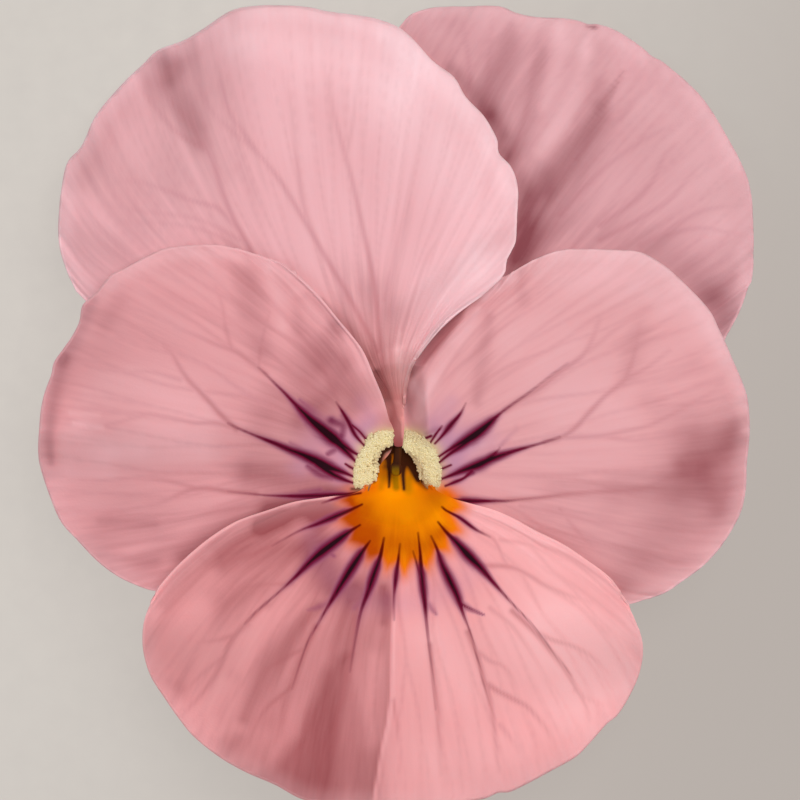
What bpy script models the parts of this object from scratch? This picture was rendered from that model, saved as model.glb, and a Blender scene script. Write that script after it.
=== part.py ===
"""A picked viola flower lying on its back, its face to the sky and its stalk along the surface.

Every piece is modelled in millimetres, and finish() turns it to metres. The origin is on the
flat underside of the stalk, straight below the throat. +Z is up, out of the flower's face, and -Y runs
along the stalk to its cut end, so the lower petal points to -Y and the two upper petals to +Y.
"""
import math

import bmesh
import bpy
import numpy as np
from mathutils import Matrix, Vector
from mathutils.geometry import delaunay_2d_cdt

MM = 0.001

# Petals: thickness, the step from one layer to the next, and the distances between mesh points,
# which are fine round the throat and coarse outside it
PETAL_THICK = 0.6
LAYER = 0.97
FINE_STEP = 0.75
COARSE_STEP = 1.45
FINE_RADIUS = 3.4
COARSE_RADIUS = 3.9

# The dome that all five petals share: height at the throat, and how far the rim falls away
CROWN = 7.4
RIM_FALL = 6.0
RIM_START = 3.0
RIM_REACH = 21.5
THROAT_DIP = 1.0
THROAT_WIDTH = 2.5

# Inner parts stand on the receptacle, beside the throat on the side of the upper petals
HEART = (0.0, 1.6)
RECEPTACLE_TOP = 4.7
RECEPTACLE_RADIUS = 1.4
RECEPTACLE_Y = 1.9

# The cup that the stalk widens into: distance from its axis, and height
RECEPTACLE = [(0.0, RECEPTACLE_TOP), (RECEPTACLE_RADIUS, RECEPTACLE_TOP), (RECEPTACLE_RADIUS, 4.1),
              (1.1, 3.2), (0.7, 2.7), (0.0, 2.6)]

# Stalk: an eight-sided tube whose flat lower side lies on the surface. Its far half bows to one side,
# and two small bracteoles stand on it
STALK_RADIUS = 0.7
STALK_END = -30.0
STALK_BOW = 2.2
BOW_START = -6.0
CROOK_RADIUS = 1.28
CROOK_Y = 2.3
BRACTEOLE_Y = -9.5
BRACTEOLE_LENGTH = 2.4

# Sepals: direction of each, and at each station the distance out, the height and the half width
SEPAL_ANGLES = {"top": 90, "upper_left": 155, "upper_right": 25, "lower_left": 215, "lower_right": 325}
SEPAL_STATIONS = [(2.55, 3.1, 0.4), (2.2, 3.7, 0.75), (1.95, 4.3, 0.85), (2.6, 4.75, 0.95),
                  (4.2, 4.95, 1.15), (6.0, 5.05, 1.05), (8.2, 5.0, 0.75), (10.15, 4.7, 0.34)]
SEPAL_SINK = 0.18
SEPAL_RIDGE = 0.15

# Spur: half sizes of its oval mouth in the lower petal, then its rings (centre in y, half width, half
# depth, height on the stalk side, height on the throat side) and the inside of its tip
MOUTH_Y = -1.0
MOUTH_HALF_WIDTH = 1.1
MOUTH_HALF_DEPTH = 0.75
SPUR_RINGS = [(-1.0, 0.78, 0.72, 6.3, 5.2), (-1.02, 0.6, 0.6, 5.4, 4.9), (-1.1, 0.6, 0.6, 4.3, 4.2),
              (-1.25, 0.52, 0.52, 3.2, 3.2), (-1.35, 0.32, 0.32, 2.6, 2.6)]
SPUR_TIP = (0.0, -1.37, 2.4)

# Claws: the narrow bases that carry the petals down to the receptacle
CLAW_RADIUS = 0.34
CLAWS = {
    "petal_upper_left": [(-0.15, 3.75, 6.25), (-0.4, 3.5, 5.9), (-0.7, 3.3, 5.5), (-0.8, 3.2, 5.1)],
    "petal_upper_right": [(1.45, 4.1, 6.95), (1.3, 3.65, 6.5), (1.1, 3.3, 5.8), (0.85, 3.2, 5.1)],
    "petal_lateral_left": [(-1.65, 0.1, 6.8), (-1.45, 0.35, 6.3), (-1.55, 0.7, 5.7), (-1.7, 1.0, 5.1)],
    "petal_lateral_right": [(1.7, 0.1, 6.8), (1.5, 0.35, 6.3), (1.6, 0.7, 5.7), (1.75, 1.0, 5.1)]}

# Beard hairs: length, radius at the root and at the tip
HAIR_LENGTH = 1.2
HAIR_ROOT = 0.17
HAIR_TIP = 0.1

# Pistil and stamens
OVARY_Z = 5.72
STYLE = [(0.0, 1.6, 6.2), (0.0, 1.45, 6.55), (0.0, 1.0, 6.8), (-0.04, 0.5, 7.05), (-0.08, 0.15, 7.3)]
STYLE_RADIUS = 0.2
STIGMA = (-0.1, 0.02, 7.35)
STAMEN_ANGLES = (90, 162, 234, 306, 18)
STAMEN_RING = 0.95
ANTHER_Z = 5.65

# Outlines seen from the front, each from one side of the claw round the blade to the other side
UPPER_LEFT = [
    (-0.45, 3.3), (-1.6, 3.55), (-4.6, 3.9), (-8.6, 4.9), (-12.0, 6.3), (-14.6, 7.5), (-16.1, 8.9),
    (-17.0, 11.6), (-16.8, 14.2), (-15.8, 16.3), (-14.9, 18.0), (-13.0, 20.1), (-11.6, 21.2),
    (-9.7, 22.1), (-7.9, 23.1), (-5.8, 23.35), (-3.6, 22.95), (-1.0, 22.55), (0.6, 21.8), (2.2, 20.1),
    (3.5, 18.6), (4.8, 16.8), (5.6, 15.2), (6.0, 13.4), (5.7, 11.0), (5.1, 9.5), (4.3, 8.85), (3.05, 7.9),
    (1.85, 6.9), (1.1, 5.8), (0.5, 4.7), (0.3, 3.9), (0.25, 3.3)]
UPPER_RIGHT = [
    (0.8, 3.75), (0.95, 4.8), (0.95, 6.0), (0.2, 8.0), (-1.5, 11.0), (-3.0, 14.5), (-2.9, 17.8),
    (-1.4, 20.4), (0.5, 22.3), (2.25, 23.3), (4.5, 23.3), (6.4, 22.75), (9.4, 22.45), (11.5, 21.6),
    (13.3, 20.3), (14.9, 18.9), (16.4, 16.8), (17.4, 14.8), (17.85, 12.2), (17.6, 9.4), (16.9, 7.4),
    (15.0, 5.6), (11.5, 4.4), (7.5, 4.0), (4.0, 3.7), (1.7, 3.35)]
LATERAL_LEFT = [
    (-1.45, -0.45), (-1.9, -0.65), (-2.6, -0.85), (-3.4, -1.9), (-4.6, -3.0), (-6.6, -4.4),
    (-8.9, -5.5), (-10.9, -6.1), (-13.0, -5.8), (-15.05, -4.55), (-16.8, -2.6), (-17.7, -0.4),
    (-18.0, 1.8), (-17.6, 4.1), (-16.7, 6.1), (-15.8, 8.1), (-14.5, 9.6), (-12.0, 10.95), (-9.5, 11.3),
    (-7.4, 10.9), (-5.3, 9.95), (-3.3, 8.0), (-1.9, 6.2), (-1.05, 4.4), (-0.6, 3.0), (-0.15, 1.9),
    (-0.4, 1.0), (-0.95, 0.35)]
LATERAL_RIGHT = [
    (1.0, 0.35), (0.5, 1.0), (0.25, 1.9), (0.4, 3.0), (0.75, 4.2), (1.15, 5.3), (1.55, 6.3),
    (2.1, 7.3), (3.1, 8.5), (4.7, 9.5), (6.3, 10.2), (8.2, 11.0), (10.0, 11.1), (12.0, 10.9), (13.7, 9.95),
    (15.3, 8.3), (16.5, 6.1), (17.4, 3.8), (17.6, 1.6), (17.35, -1.0), (16.6, -3.2), (15.0, -5.1),
    (13.2, -6.2), (11.4, -6.7), (9.6, -6.5), (7.6, -5.5), (5.4, -4.1), (3.5, -2.2), (2.6, -0.85),
    (1.95, -0.65), (1.5, -0.45)]
LOWER = [
    (-1.1, -1.0), (-2.0, -1.35), (-3.95, -1.4), (-6.5, -2.0), (-8.7, -2.95), (-10.6, -4.4),
    (-12.0, -6.0), (-12.75, -8.2), (-12.3, -10.4), (-10.9, -12.5), (-8.95, -14.35), (-6.15, -15.75),
    (-3.6, -16.6), (-0.4, -16.8), (3.2, -16.65), (5.6, -16.1), (7.75, -15.0), (9.65, -13.6),
    (11.3, -11.8), (12.2, -9.6), (12.0, -7.6), (10.95, -5.95), (9.3, -4.4), (6.85, -3.0),
    (4.8, -2.0), (3.55, -1.6), (2.0, -1.4), (1.1, -1.0)]

# Inner edges of the lateral petals, which roll into the throat and carry the beards
LEFT_LIP = [(-0.15, 1.9), (-0.4, 1.0), (-0.95, 0.35), (-1.45, -0.45)]
RIGHT_LIP = [(0.25, 1.9), (0.5, 1.0), (1.0, 0.35), (1.5, -0.45)]

# Waves of the petals' free margins: centre, height and width of each swell or dip
SWELLS = {
    "petal_upper_left": [(-13.6, 19.3, -2.02, 4.6), (-7.0, 21.5, 1.0, 2.6), (-15.2, 13.0, 0.9, 2.4),
                         (3.4, 16.0, 0.8, 2.4), (-9.5, 15.0, 0.45, 3.0), (-11.5, 20.4, -0.4, 1.5),
                         (-4.3, 22.9, -0.4, 1.5), (1.2, 20.8, 0.5, 1.6), (-16.5, 10.2, -0.5, 1.8),
                         (-4.5, 9.5, 0.3, 2.5)],
    "petal_upper_right": [(14.4, 18.8, -0.97, 4.6), (7.6, 21.8, 0.7, 2.0), (16.4, 12.0, 0.8, 2.4),
                          (12.5, 15.5, 0.4, 2.2), (4.3, 22.6, 0.4, 1.5), (10.8, 21.4, -0.5, 1.6),
                          (17.0, 15.0, -0.5, 1.7), (17.2, 9.3, -0.4, 1.6)],
    "petal_lateral_left": [(-16.2, -1.6, -0.9, 3.0), (-16.6, 4.9, -0.7, 2.0), (-11.0, 7.8, 0.5, 2.6),
                           (-12.6, 1.5, 0.45, 3.0), (-17.6, 1.9, 0.5, 1.7), (-14.2, -4.4, 0.5, 1.8),
                           (-9.6, 10.9, 0.4, 1.5), (-14.0, 9.3, 0.35, 1.6), (-6.5, 3.5, 0.25, 2.2)],
    "petal_lateral_right": [(15.4, -3.4, -0.9, 3.0), (16.2, 4.4, 0.6, 2.4), (9.5, 8.3, 0.45, 2.4),
                            (11.5, 0.5, 0.4, 3.0), (17.2, 0.9, -0.5, 1.8), (12.6, -6.0, -0.3, 1.5),
                            (11.8, 10.5, 0.4, 1.6), (14.6, 8.6, -0.1, 1.5), (6.5, 4.5, 0.25, 2.2)],
    "petal_lower": [(-11.0, -10.8, -0.8, 2.8), (10.6, -11.2, -0.5, 2.6), (-6.2, -14.6, 0.6, 2.0),
                    (6.4, -14.6, 0.5, 2.0), (-8.6, -5.4, 0.3, 2.0), (-12.2, -7.6, 0.45, 1.7),
                    (11.8, -8.4, 0.4, 1.6), (-2.6, -16.4, -0.35, 1.4), (3.0, -16.2, -0.35, 1.5),
                    (-9.2, -13.8, -0.45, 1.6)]}


def smoothstep(start, end, value):
    """Rise from 0 at start to 1 at end with level ends."""
    t = np.clip((value - start) / (end - start), 0.0, 1.0)
    return t * t * (3.0 - 2.0 * t)


def smooth_path(points):
    """Points on a smooth curve through those given, close together near the throat."""
    p = np.array(points, float)
    p = np.vstack([2 * p[0] - p[1], p, 2 * p[-1] - p[-2]])
    t = np.linspace(0.0, 1.0, 16, endpoint=False)[:, None]
    fine = []
    for a, b, c, d in zip(p[:-3], p[1:-2], p[2:-1], p[3:]):
        fine.append(0.5 * (2 * b + (c - a) * t + (2 * a - 5 * b + 4 * c - d) * t ** 2
                           + (3 * b - a - 3 * c + d) * t ** 3))
    fine = np.vstack(fine + [p[-2:-1]])
    middles = (fine[1:] + fine[:-1]) / 2
    step = np.clip(0.3 + 0.2 * np.hypot(middles[:, 0], middles[:, 1]), FINE_STEP, COARSE_STEP)
    run = np.concatenate([[0.0], np.cumsum(np.linalg.norm(np.diff(fine, axis=0), axis=1) / step)])
    even = np.linspace(0.0, run[-1], round(run[-1]) + 1)
    return np.stack([np.interp(even, run, fine[:, k]) for k in range(2)], axis=1)


def distance_to_path(x, y, path):
    """Distance from each point to a path of straight pieces."""
    best = np.full(np.shape(x), 1e9)
    for (ax, ay), (bx, by) in zip(path[:-1], path[1:]):
        dx, dy = bx - ax, by - ay
        t = np.clip(((x - ax) * dx + (y - ay) * dy) / (dx * dx + dy * dy), 0.0, 1.0)
        best = np.minimum(best, np.hypot(x - ax - t * dx, y - ay - t * dy))
    return best


def inside(x, y, loop):
    """True where a point is inside a closed loop."""
    odd = np.zeros(np.shape(x), bool)
    for (ax, ay), (bx, by) in zip(loop, np.roll(loop, -1, axis=0)):
        crosses = (ay > y) != (by > y)
        if ay != by:
            odd ^= crosses & (x < ax + (y - ay) * (bx - ax) / (by - ay))
    return odd


# Heights of the petals' upper faces, in millimetres above the surface that the flower lies on
def dome(x, y):
    r = np.hypot(x, y)
    fall = RIM_FALL * np.clip((r - RIM_START) / RIM_REACH, 0.0, None) ** 1.7
    return CROWN - fall - THROAT_DIP * np.exp(-(r / THROAT_WIDTH) ** 2)


def swells(name, x, y):
    total = np.zeros(np.shape(x))
    for cx, cy, height, width in SWELLS[name]:
        total = total + height * np.exp(-((x - cx) ** 2 + (y - cy) ** 2) / width ** 2)
    return total


def upper_right_height(x, y):
    seen = smoothstep(0.0, 2.5, x - np.interp(y, [8, 13, 17, 22], [6.5, 7.0, 6.0, 1.5]))
    fold = distance_to_path(x, y, [(6.6, 12.0), (9.85, 17.4), (11.3, 19.6)])
    return dome(x, y) + swells("petal_upper_right", x, y) - 0.6 * seen * np.exp(-(fold / 0.9) ** 2)


def upper_left_height(x, y):
    r = np.hypot(x, y)
    right_side = distance_to_path(x, y, [(0.6, 5.0), (1.85, 6.9), (4.3, 8.85), (5.4, 9.9)])
    over_lateral = np.exp(-(right_side / 1.9) ** 4) * smoothstep(4.6, 6.2, r)
    claw_sink = 1.8 * (1.0 - smoothstep(3.2, 5.4, r))
    return dome(x, y) + LAYER * (1.0 + over_lateral) - claw_sink + swells("petal_upper_left", x, y)


def beard_roll(x, y, lip):
    """The base of a lateral petal rolls over into the throat."""
    return 0.75 * np.exp(-(distance_to_path(x, y, lip) / 0.75) ** 2)


def lateral_left_height(x, y):
    r = np.hypot(x, y)
    over_upper = LAYER * smoothstep(3.2, 5.4, r) * smoothstep(-0.5, 2.5, y)
    return (dome(x, y) + LAYER + over_upper + swells("petal_lateral_left", x, y)
            - beard_roll(x, y, LEFT_LIP))


def lateral_right_height(x, y):
    return dome(x, y) + LAYER + swells("petal_lateral_right", x, y) - beard_roll(x, y, RIGHT_LIP)


def lower_height(x, y):
    r = np.hypot(x, y)
    claw_sink = 1.9 * (1.0 - smoothstep(1.2, 3.0, r))
    keel = smoothstep(4.0, 9.0, -y) * 0.7 * np.exp(-(x / 1.3) ** 2)
    keel -= smoothstep(7.0, 12.0, -y) * 0.11 * np.abs(x)
    return dome(x, y) + 2.0 * LAYER - claw_sink + keel + swells("petal_lower", x, y)


def material(name, colour, roughness):
    mat = bpy.data.materials.new(name)
    mat.use_nodes = True
    shader = mat.node_tree.nodes["Principled BSDF"]
    shader.inputs["Base Color"].default_value = (*colour, 1.0)
    shader.inputs["Roughness"].default_value = roughness
    shader.inputs["Metallic"].default_value = 0.0
    mat.diffuse_color = (*colour, 1.0)
    return mat


def finish(obj, collection, colour, roughness=0.6):
    """Turn the piece to metres, give it its material and its collection, and shade it smooth."""
    obj.data.transform(Matrix.Scale(MM, 4))
    obj.data.materials.clear()
    obj.data.materials.append(material(obj.name, colour, roughness))
    for other in list(obj.users_collection):
        other.objects.unlink(obj)
    collection.objects.link(obj)
    obj.data.shade_smooth()
    obj.data.set_sharp_from_angle(angle=math.radians(50))


def apply_modifiers(obj):
    """Turn the evaluated shape into the object's own mesh."""
    graph = bpy.context.evaluated_depsgraph_get()
    mesh = bpy.data.meshes.new_from_object(obj.evaluated_get(graph))
    old = obj.data
    obj.modifiers.clear()
    obj.data = mesh
    bpy.data.meshes.remove(old)


def new_object(name, mesh):
    obj = bpy.data.objects.new(name, mesh)
    bpy.context.scene.collection.objects.link(obj)
    return obj


def join_solids(obj, others):
    """Boolean union of closed solids into obj. The others are removed."""
    group = bpy.data.collections.new(obj.name + "_joined")
    bpy.context.scene.collection.children.link(group)
    for other in others:
        for home in list(other.users_collection):
            home.objects.unlink(other)
        group.objects.link(other)
    union = obj.modifiers.new("union", "BOOLEAN")
    union.operation = "UNION"
    union.operand_type = "COLLECTION"
    union.collection = group
    union.solver = "MANIFOLD"
    apply_modifiers(obj)
    bm = bmesh.new()
    bm.from_mesh(obj.data)
    bmesh.ops.remove_doubles(bm, verts=bm.verts[:], dist=0.01)
    bmesh.ops.triangulate(bm, faces=bm.faces[:])
    bmesh.ops.dissolve_degenerate(bm, edges=bm.edges[:], dist=0.005)
    bm.to_mesh(obj.data)
    bm.free()
    for other in others:
        bpy.data.objects.remove(other)
    bpy.data.collections.remove(group)


def staggered_points(low, high, step):
    """Points of a triangle net over a rectangle."""
    rows = np.arange(low[1], high[1], step * math.sqrt(3) / 2)
    net = []
    for number, y in enumerate(rows):
        x = np.arange(low[0] + (number % 2) * step / 2, high[0], step)
        net.append(np.stack([x, np.full(x.shape, y)], axis=1))
    return np.vstack(net)


def blade_mesh(name, loop, height, extra=None):
    """An open surface that fills a closed outline, raised to the petal's height."""
    low, high = loop.min(axis=0), loop.max(axis=0)
    closed = np.vstack([loop, loop[:1]])
    points = [loop]
    for step, nearest, farthest in ((FINE_STEP, 0.0, FINE_RADIUS), (COARSE_STEP, COARSE_RADIUS, math.inf)):
        net = staggered_points(low, high, step)
        r = np.hypot(net[:, 0], net[:, 1])
        keep = (r >= nearest) & (r < farthest) & inside(net[:, 0], net[:, 1], loop)
        keep &= distance_to_path(net[:, 0], net[:, 1], closed) > 0.6 * step
        if extra is not None:
            keep &= distance_to_path(net[:, 0], net[:, 1], extra) > 0.6 * FINE_STEP
        points.append(net[keep])
    if extra is not None:
        points.append(np.array(extra))
    flat = [Vector(p) for p in np.vstack(points)]
    verts, _, faces, *_ = delaunay_2d_cdt(flat, [], [list(range(len(loop)))], 1, 1e-6)
    xy = np.array([tuple(v) for v in verts])
    mesh = bpy.data.meshes.new(name)
    mesh.from_pydata(np.column_stack([xy, height(xy[:, 0], xy[:, 1])]).tolist(), [], faces)
    return mesh


def face_up(bm):
    """Turn the faces so that the blade looks up."""
    if sum(face.normal.z * face.calc_area() for face in bm.faces) < 0:
        bmesh.ops.reverse_faces(bm, faces=bm.faces[:])


def thicken(bm, name, thickness):
    """A closed blade from an open surface, its thickness added below."""
    bmesh.ops.triangulate(bm, faces=bm.faces[:], quad_method="SHORT_EDGE")
    bmesh.ops.recalc_face_normals(bm, faces=bm.faces[:])
    face_up(bm)
    mesh = bpy.data.meshes.new(name)
    bm.to_mesh(mesh)
    bm.free()
    obj = new_object(name, mesh)
    solid = obj.modifiers.new("thickness", "SOLIDIFY")
    solid.thickness = thickness
    solid.offset = -1.0
    apply_modifiers(obj)
    return obj


def tube(name, route, radius, tilt=0.0):
    """A closed tube along a route of points, its caps welded."""
    curve = bpy.data.curves.new(name, "CURVE")
    curve.dimensions = "3D"
    curve.bevel_depth = radius
    curve.bevel_resolution = 2
    curve.use_fill_caps = True
    spline = curve.splines.new("POLY")
    spline.points.add(len(route) - 1)
    for point, place in zip(spline.points, route):
        point.co = (*place, 1.0)
        point.tilt = tilt
    guide = new_object(name + "_guide", curve)
    graph = bpy.context.evaluated_depsgraph_get()
    mesh = bpy.data.meshes.new_from_object(guide.evaluated_get(graph))
    bpy.data.objects.remove(guide)
    bm = bmesh.new()
    bm.from_mesh(mesh)
    bmesh.ops.remove_doubles(bm, verts=bm.verts[:], dist=0.001)
    bmesh.ops.recalc_face_normals(bm, faces=bm.faces[:])
    bm.to_mesh(mesh)
    bm.free()
    return new_object(name, mesh)


def build_petal(name, outline, height, colour, collection, hairs=()):
    """A blade, its claw and the hairs that grow on it, in one piece."""
    mesh = blade_mesh(name, smooth_path(outline), height)
    bm = bmesh.new()
    bm.from_mesh(mesh)
    bpy.data.meshes.remove(mesh)
    blade = thicken(bm, name, PETAL_THICK)
    claw = tube(name + "_claw", CLAWS[name], CLAW_RADIUS)
    join_solids(blade, [claw, *hairs])
    finish(blade, collection, colour)


def beard_hairs(height, lip, inward):
    """Stubby hairs, round in section, that stand on the rolled base of a lateral petal."""
    hairs = []
    starts = [(1 - t) * np.array(a) + t * np.array(b) for a, b in zip(lip[:-1], lip[1:]) for t in (0.0, 0.5)]
    for row in range(2):
        for number, (x, y) in enumerate(starts):
            base_x = x - inward * (0.42 + 0.5 * row)
            base_y = y + 0.12 * (number % 2)
            base = Vector((base_x, base_y, float(height(np.array(base_x), np.array(base_y)))))
            lean = Vector((inward * 0.45, -0.1, 1.0)).normalized()
            bm = bmesh.new()
            bmesh.ops.create_cone(bm, cap_ends=True, segments=5, radius1=HAIR_ROOT, radius2=HAIR_TIP,
                                  depth=HAIR_LENGTH)
            turn = lean.to_track_quat("Z", "Y").to_matrix().to_4x4()
            bmesh.ops.transform(bm, matrix=Matrix.Translation(base + lean * 0.25) @ turn, verts=bm.verts[:])
            mesh = bpy.data.meshes.new("hair")
            bm.to_mesh(mesh)
            bm.free()
            hairs.append(new_object("hair", mesh))
    return hairs


def spur_ring(count, centre_y, half_width, half_depth, low_z, high_z):
    """A ring of the spur, anticlockwise from its left side, higher on the throat side if high_z is."""
    ring = []
    for number in range(count):
        turn = math.pi + 2 * math.pi * number / count
        side = math.sin(turn)
        level = (low_z + high_z) / 2 + (high_z - low_z) / 2 * side
        ring.append(Vector((half_width * math.cos(turn), centre_y + half_depth * side, level)))
    return ring


def build_lower_petal(collection):
    """The blade's inner edge is the lower half of the spur's mouth, and the tube hangs from it."""
    half = 7
    mouth = [(MOUTH_HALF_WIDTH * math.cos(a), MOUTH_Y + MOUTH_HALF_DEPTH * math.sin(a))
             for a in np.linspace(math.pi, 2 * math.pi, half + 1)]
    edge = smooth_path(LOWER)
    around = [((MOUTH_HALF_WIDTH + 0.65) * math.cos(a), MOUTH_Y + (MOUTH_HALF_DEPTH + 0.7) * math.sin(a))
              for a in np.linspace(1.12 * math.pi, 1.88 * math.pi, 6)]
    loop = np.vstack([edge, np.array(mouth)[1:-1][::-1]])
    mesh = blade_mesh("petal_lower", loop, lower_height, around)
    bm = bmesh.new()
    bm.from_mesh(mesh)
    bpy.data.meshes.remove(mesh)
    bm.verts.ensure_lookup_table()
    lower_arc = [bm.verts[0]] + [bm.verts[len(edge) + half - 1 - k] for k in range(1, half)]
    lower_arc.append(bm.verts[len(edge) - 1])
    upper_arc = []
    for number in range(1, half):
        turn = math.pi * number / half
        upper_arc.append(bm.verts.new((MOUTH_HALF_WIDTH * math.cos(turn), MOUTH_Y + 0.62 * math.sin(turn),
                                       lower_arc[0].co.z - 1.35 * math.sin(turn))))
    chain = lower_arc + upper_arc
    for a, b in zip(chain, chain[1:] + chain[:1]):
        if bm.edges.get((a, b)) is None:
            bm.edges.new((a, b))
    for station in SPUR_RINGS:
        ring = spur_ring(2 * half, *station)
        edges = [bm.edges.get((a, b)) for a, b in zip(chain, chain[1:] + chain[:1])]
        out = bmesh.ops.extrude_edge_only(bm, edges=edges)["geom"]
        fresh = {item for item in out if isinstance(item, bmesh.types.BMVert)}
        follow = [next(e.other_vert(v) for e in v.link_edges if e.other_vert(v) in fresh) for v in chain]
        for vert, place in zip(follow, ring):
            vert.co = place
        chain = follow
    tip = bm.verts.new(SPUR_TIP)
    for a, b in zip(chain, chain[1:] + chain[:1]):
        bm.faces.new((a, b, tip))
    obj = thicken(bm, "petal_lower", PETAL_THICK)
    finish(obj, collection, (0.86, 0.43, 0.42))


def build_sepals(collection):
    """Five lance-shaped sepals round the receptacle, each with a short ear below its seat."""
    steps = len(SEPAL_STATIONS) - 1
    for label, angle in SEPAL_ANGLES.items():
        bpy.ops.mesh.primitive_grid_add(x_subdivisions=steps, y_subdivisions=2, size=1.0)
        obj = bpy.context.object
        obj.name = "sepal_" + label
        turn = Matrix.Rotation(math.radians(angle), 4, "Z")
        seat = Matrix.Translation((0.0, RECEPTACLE_Y, 0.0))
        bm = bmesh.new()
        bm.from_mesh(obj.data)
        for vert in bm.verts:
            out, level, half_width = SEPAL_STATIONS[round((vert.co.x + 0.5) * steps)]
            across = 2.0 * vert.co.y
            ridge = SEPAL_RIDGE * half_width * (1.0 - abs(across))
            vert.co = seat @ turn @ Vector((out, across * half_width, level - SEPAL_SINK + ridge))
        bpy.data.objects.remove(obj)
        finish(thicken(bm, "sepal_" + label, PETAL_THICK), collection, (0.24, 0.36, 0.12))


def build_stalk(collection):
    """The stalk lies along the surface, and its end curls up like a crook into the receptacle."""
    flat_side = STALK_RADIUS * math.cos(math.pi / 8)
    centre = CROOK_RADIUS + flat_side
    route = [(STALK_BOW * smoothstep(BOW_START, STALK_END - 2.0, y) ** 1.2, y, flat_side)
             for y in (STALK_END, -27.0, -24.0, -21.0, -18.0, -15.0, -12.0, -9.0, -6.0, -2.5, 1.2)]
    for turn in np.linspace(-90, 90, 9):
        a = math.radians(turn)
        route.append((0.0, CROOK_Y + CROOK_RADIUS * math.cos(a), centre + CROOK_RADIUS * math.sin(a)))
    stalk = tube("stalk", route, STALK_RADIUS, math.pi / 8)

    profile = bpy.data.meshes.new("receptacle")
    edges = [(k, k + 1) for k in range(len(RECEPTACLE) - 1)]
    profile.from_pydata([(r, 0.0, z) for r, z in RECEPTACLE], edges, [])
    receptacle = new_object("receptacle", profile)
    screw = receptacle.modifiers.new("turn", "SCREW")
    screw.steps = 14
    screw.render_steps = 14
    screw.use_merge_vertices = True
    screw.merge_threshold = 0.0001
    screw.use_normal_calculate = True
    apply_modifiers(receptacle)
    receptacle.data.transform(Matrix.Translation((0.0, RECEPTACLE_Y, 0.0)))

    scales = []
    for side in (-1, 1):
        bm = bmesh.new()
        bmesh.ops.create_cone(bm, cap_ends=True, segments=6, radius1=0.42, radius2=0.12,
                              depth=BRACTEOLE_LENGTH)
        lean = Vector((0.35 * side, 1.0, 0.1)).normalized()
        turn = lean.to_track_quat("Z", "Y").to_matrix().to_4x4()
        place = Matrix.Translation((0.75 * side, BRACTEOLE_Y + 0.7 * side, 0.85)) @ turn
        bmesh.ops.transform(bm, matrix=place, verts=bm.verts[:])
        mesh = bpy.data.meshes.new("bracteole")
        bm.to_mesh(mesh)
        bm.free()
        scales.append(new_object("bracteole", mesh))
    join_solids(stalk, [receptacle] + scales)
    finish(stalk, collection, (0.30, 0.42, 0.16))


def ball(centre, sizes, segments, rings):
    """A closed ball, stretched to the half sizes given."""
    bm = bmesh.new()
    bmesh.ops.create_uvsphere(bm, u_segments=segments, v_segments=rings, radius=1.0)
    stretch = Matrix.Diagonal((*sizes, 1.0))
    bmesh.ops.transform(bm, matrix=Matrix.Translation(centre) @ stretch, verts=bm.verts[:])
    mesh = bpy.data.meshes.new("ball")
    bm.to_mesh(mesh)
    bm.free()
    return new_object("ball", mesh)


def build_pistil(collection):
    """Ovary, kneed style and globe-shaped stigma, grown as one piece."""
    pistil = ball((*HEART, OVARY_Z), (0.5, 0.5, 0.72), 12, 8)
    pistil.name = "pistil"
    style = tube("style", STYLE, STYLE_RADIUS)
    stigma = ball(STIGMA, (0.34, 0.4, 0.4), 12, 8)
    join_solids(pistil, [style, stigma])
    finish(pistil, collection, (0.62, 0.60, 0.22))


def build_stamens(collection):
    """Five anthers close round the ovary, each on a short filament and with a pointed tip."""
    for number, angle in enumerate(STAMEN_ANGLES, start=1):
        turn = Matrix.Rotation(math.radians(angle), 4, "Z")
        anther = ball((0.0, 0.0, ANTHER_Z), (0.15, 0.26, 0.5), 8, 6)
        anther.name = f"stamen_{number}"
        bm = bmesh.new()
        below = Matrix.Translation((0.0, 0.0, ANTHER_Z - 0.39))
        above = Matrix.Translation((0.0, 0.0, ANTHER_Z + 0.5)) @ Matrix.Diagonal((0.6, 1.0, 1.0, 1.0))
        bmesh.ops.create_cone(bm, cap_ends=True, segments=6, radius1=0.13, radius2=0.13, depth=0.5,
                              matrix=below)
        bmesh.ops.create_cone(bm, cap_ends=True, segments=6, radius1=0.2, radius2=0.06, depth=0.5,
                              matrix=above)
        mesh = bpy.data.meshes.new("filament")
        bm.to_mesh(mesh)
        bm.free()
        ends = new_object("filament", mesh)
        join_solids(anther, [ends])
        seat = Matrix.Translation((*HEART, 0.0))
        anther.data.transform(seat @ turn @ Matrix.Translation((STAMEN_RING, 0.0, 0.0)))
        finish(anther, collection, (0.80, 0.42, 0.08))


def main():
    for obj in list(bpy.data.objects):
        bpy.data.objects.remove(obj)
    flower = bpy.data.collections.new("viola_flower")
    bpy.context.scene.collection.children.link(flower)
    build_stalk(flower)
    build_sepals(flower)
    build_petal("petal_upper_left", UPPER_LEFT, upper_left_height, (0.83, 0.44, 0.47), flower)
    build_petal("petal_upper_right", UPPER_RIGHT, upper_right_height, (0.76, 0.37, 0.40), flower)
    build_petal("petal_lateral_left", LATERAL_LEFT, lateral_left_height, (0.82, 0.46, 0.47), flower,
                beard_hairs(lateral_left_height, LEFT_LIP, 1.0))
    build_petal("petal_lateral_right", LATERAL_RIGHT, lateral_right_height, (0.80, 0.42, 0.44), flower,
                beard_hairs(lateral_right_height, RIGHT_LIP, -1.0))
    build_lower_petal(flower)
    build_pistil(flower)
    build_stamens(flower)


main()
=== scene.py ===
"""The looks of a picked viola flower that lies face up: finer petals with veins, whiskers and beards.

The flower's own sizes are typed in millimetres. Places on its face are typed in pixels of the
photograph, 20 to a millimetre, and photo() turns them to millimetres from the throat.
"""
import math
from types import SimpleNamespace

import bpy
import numpy as np
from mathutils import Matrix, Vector
from mathutils.kdtree import KDTree


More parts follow.
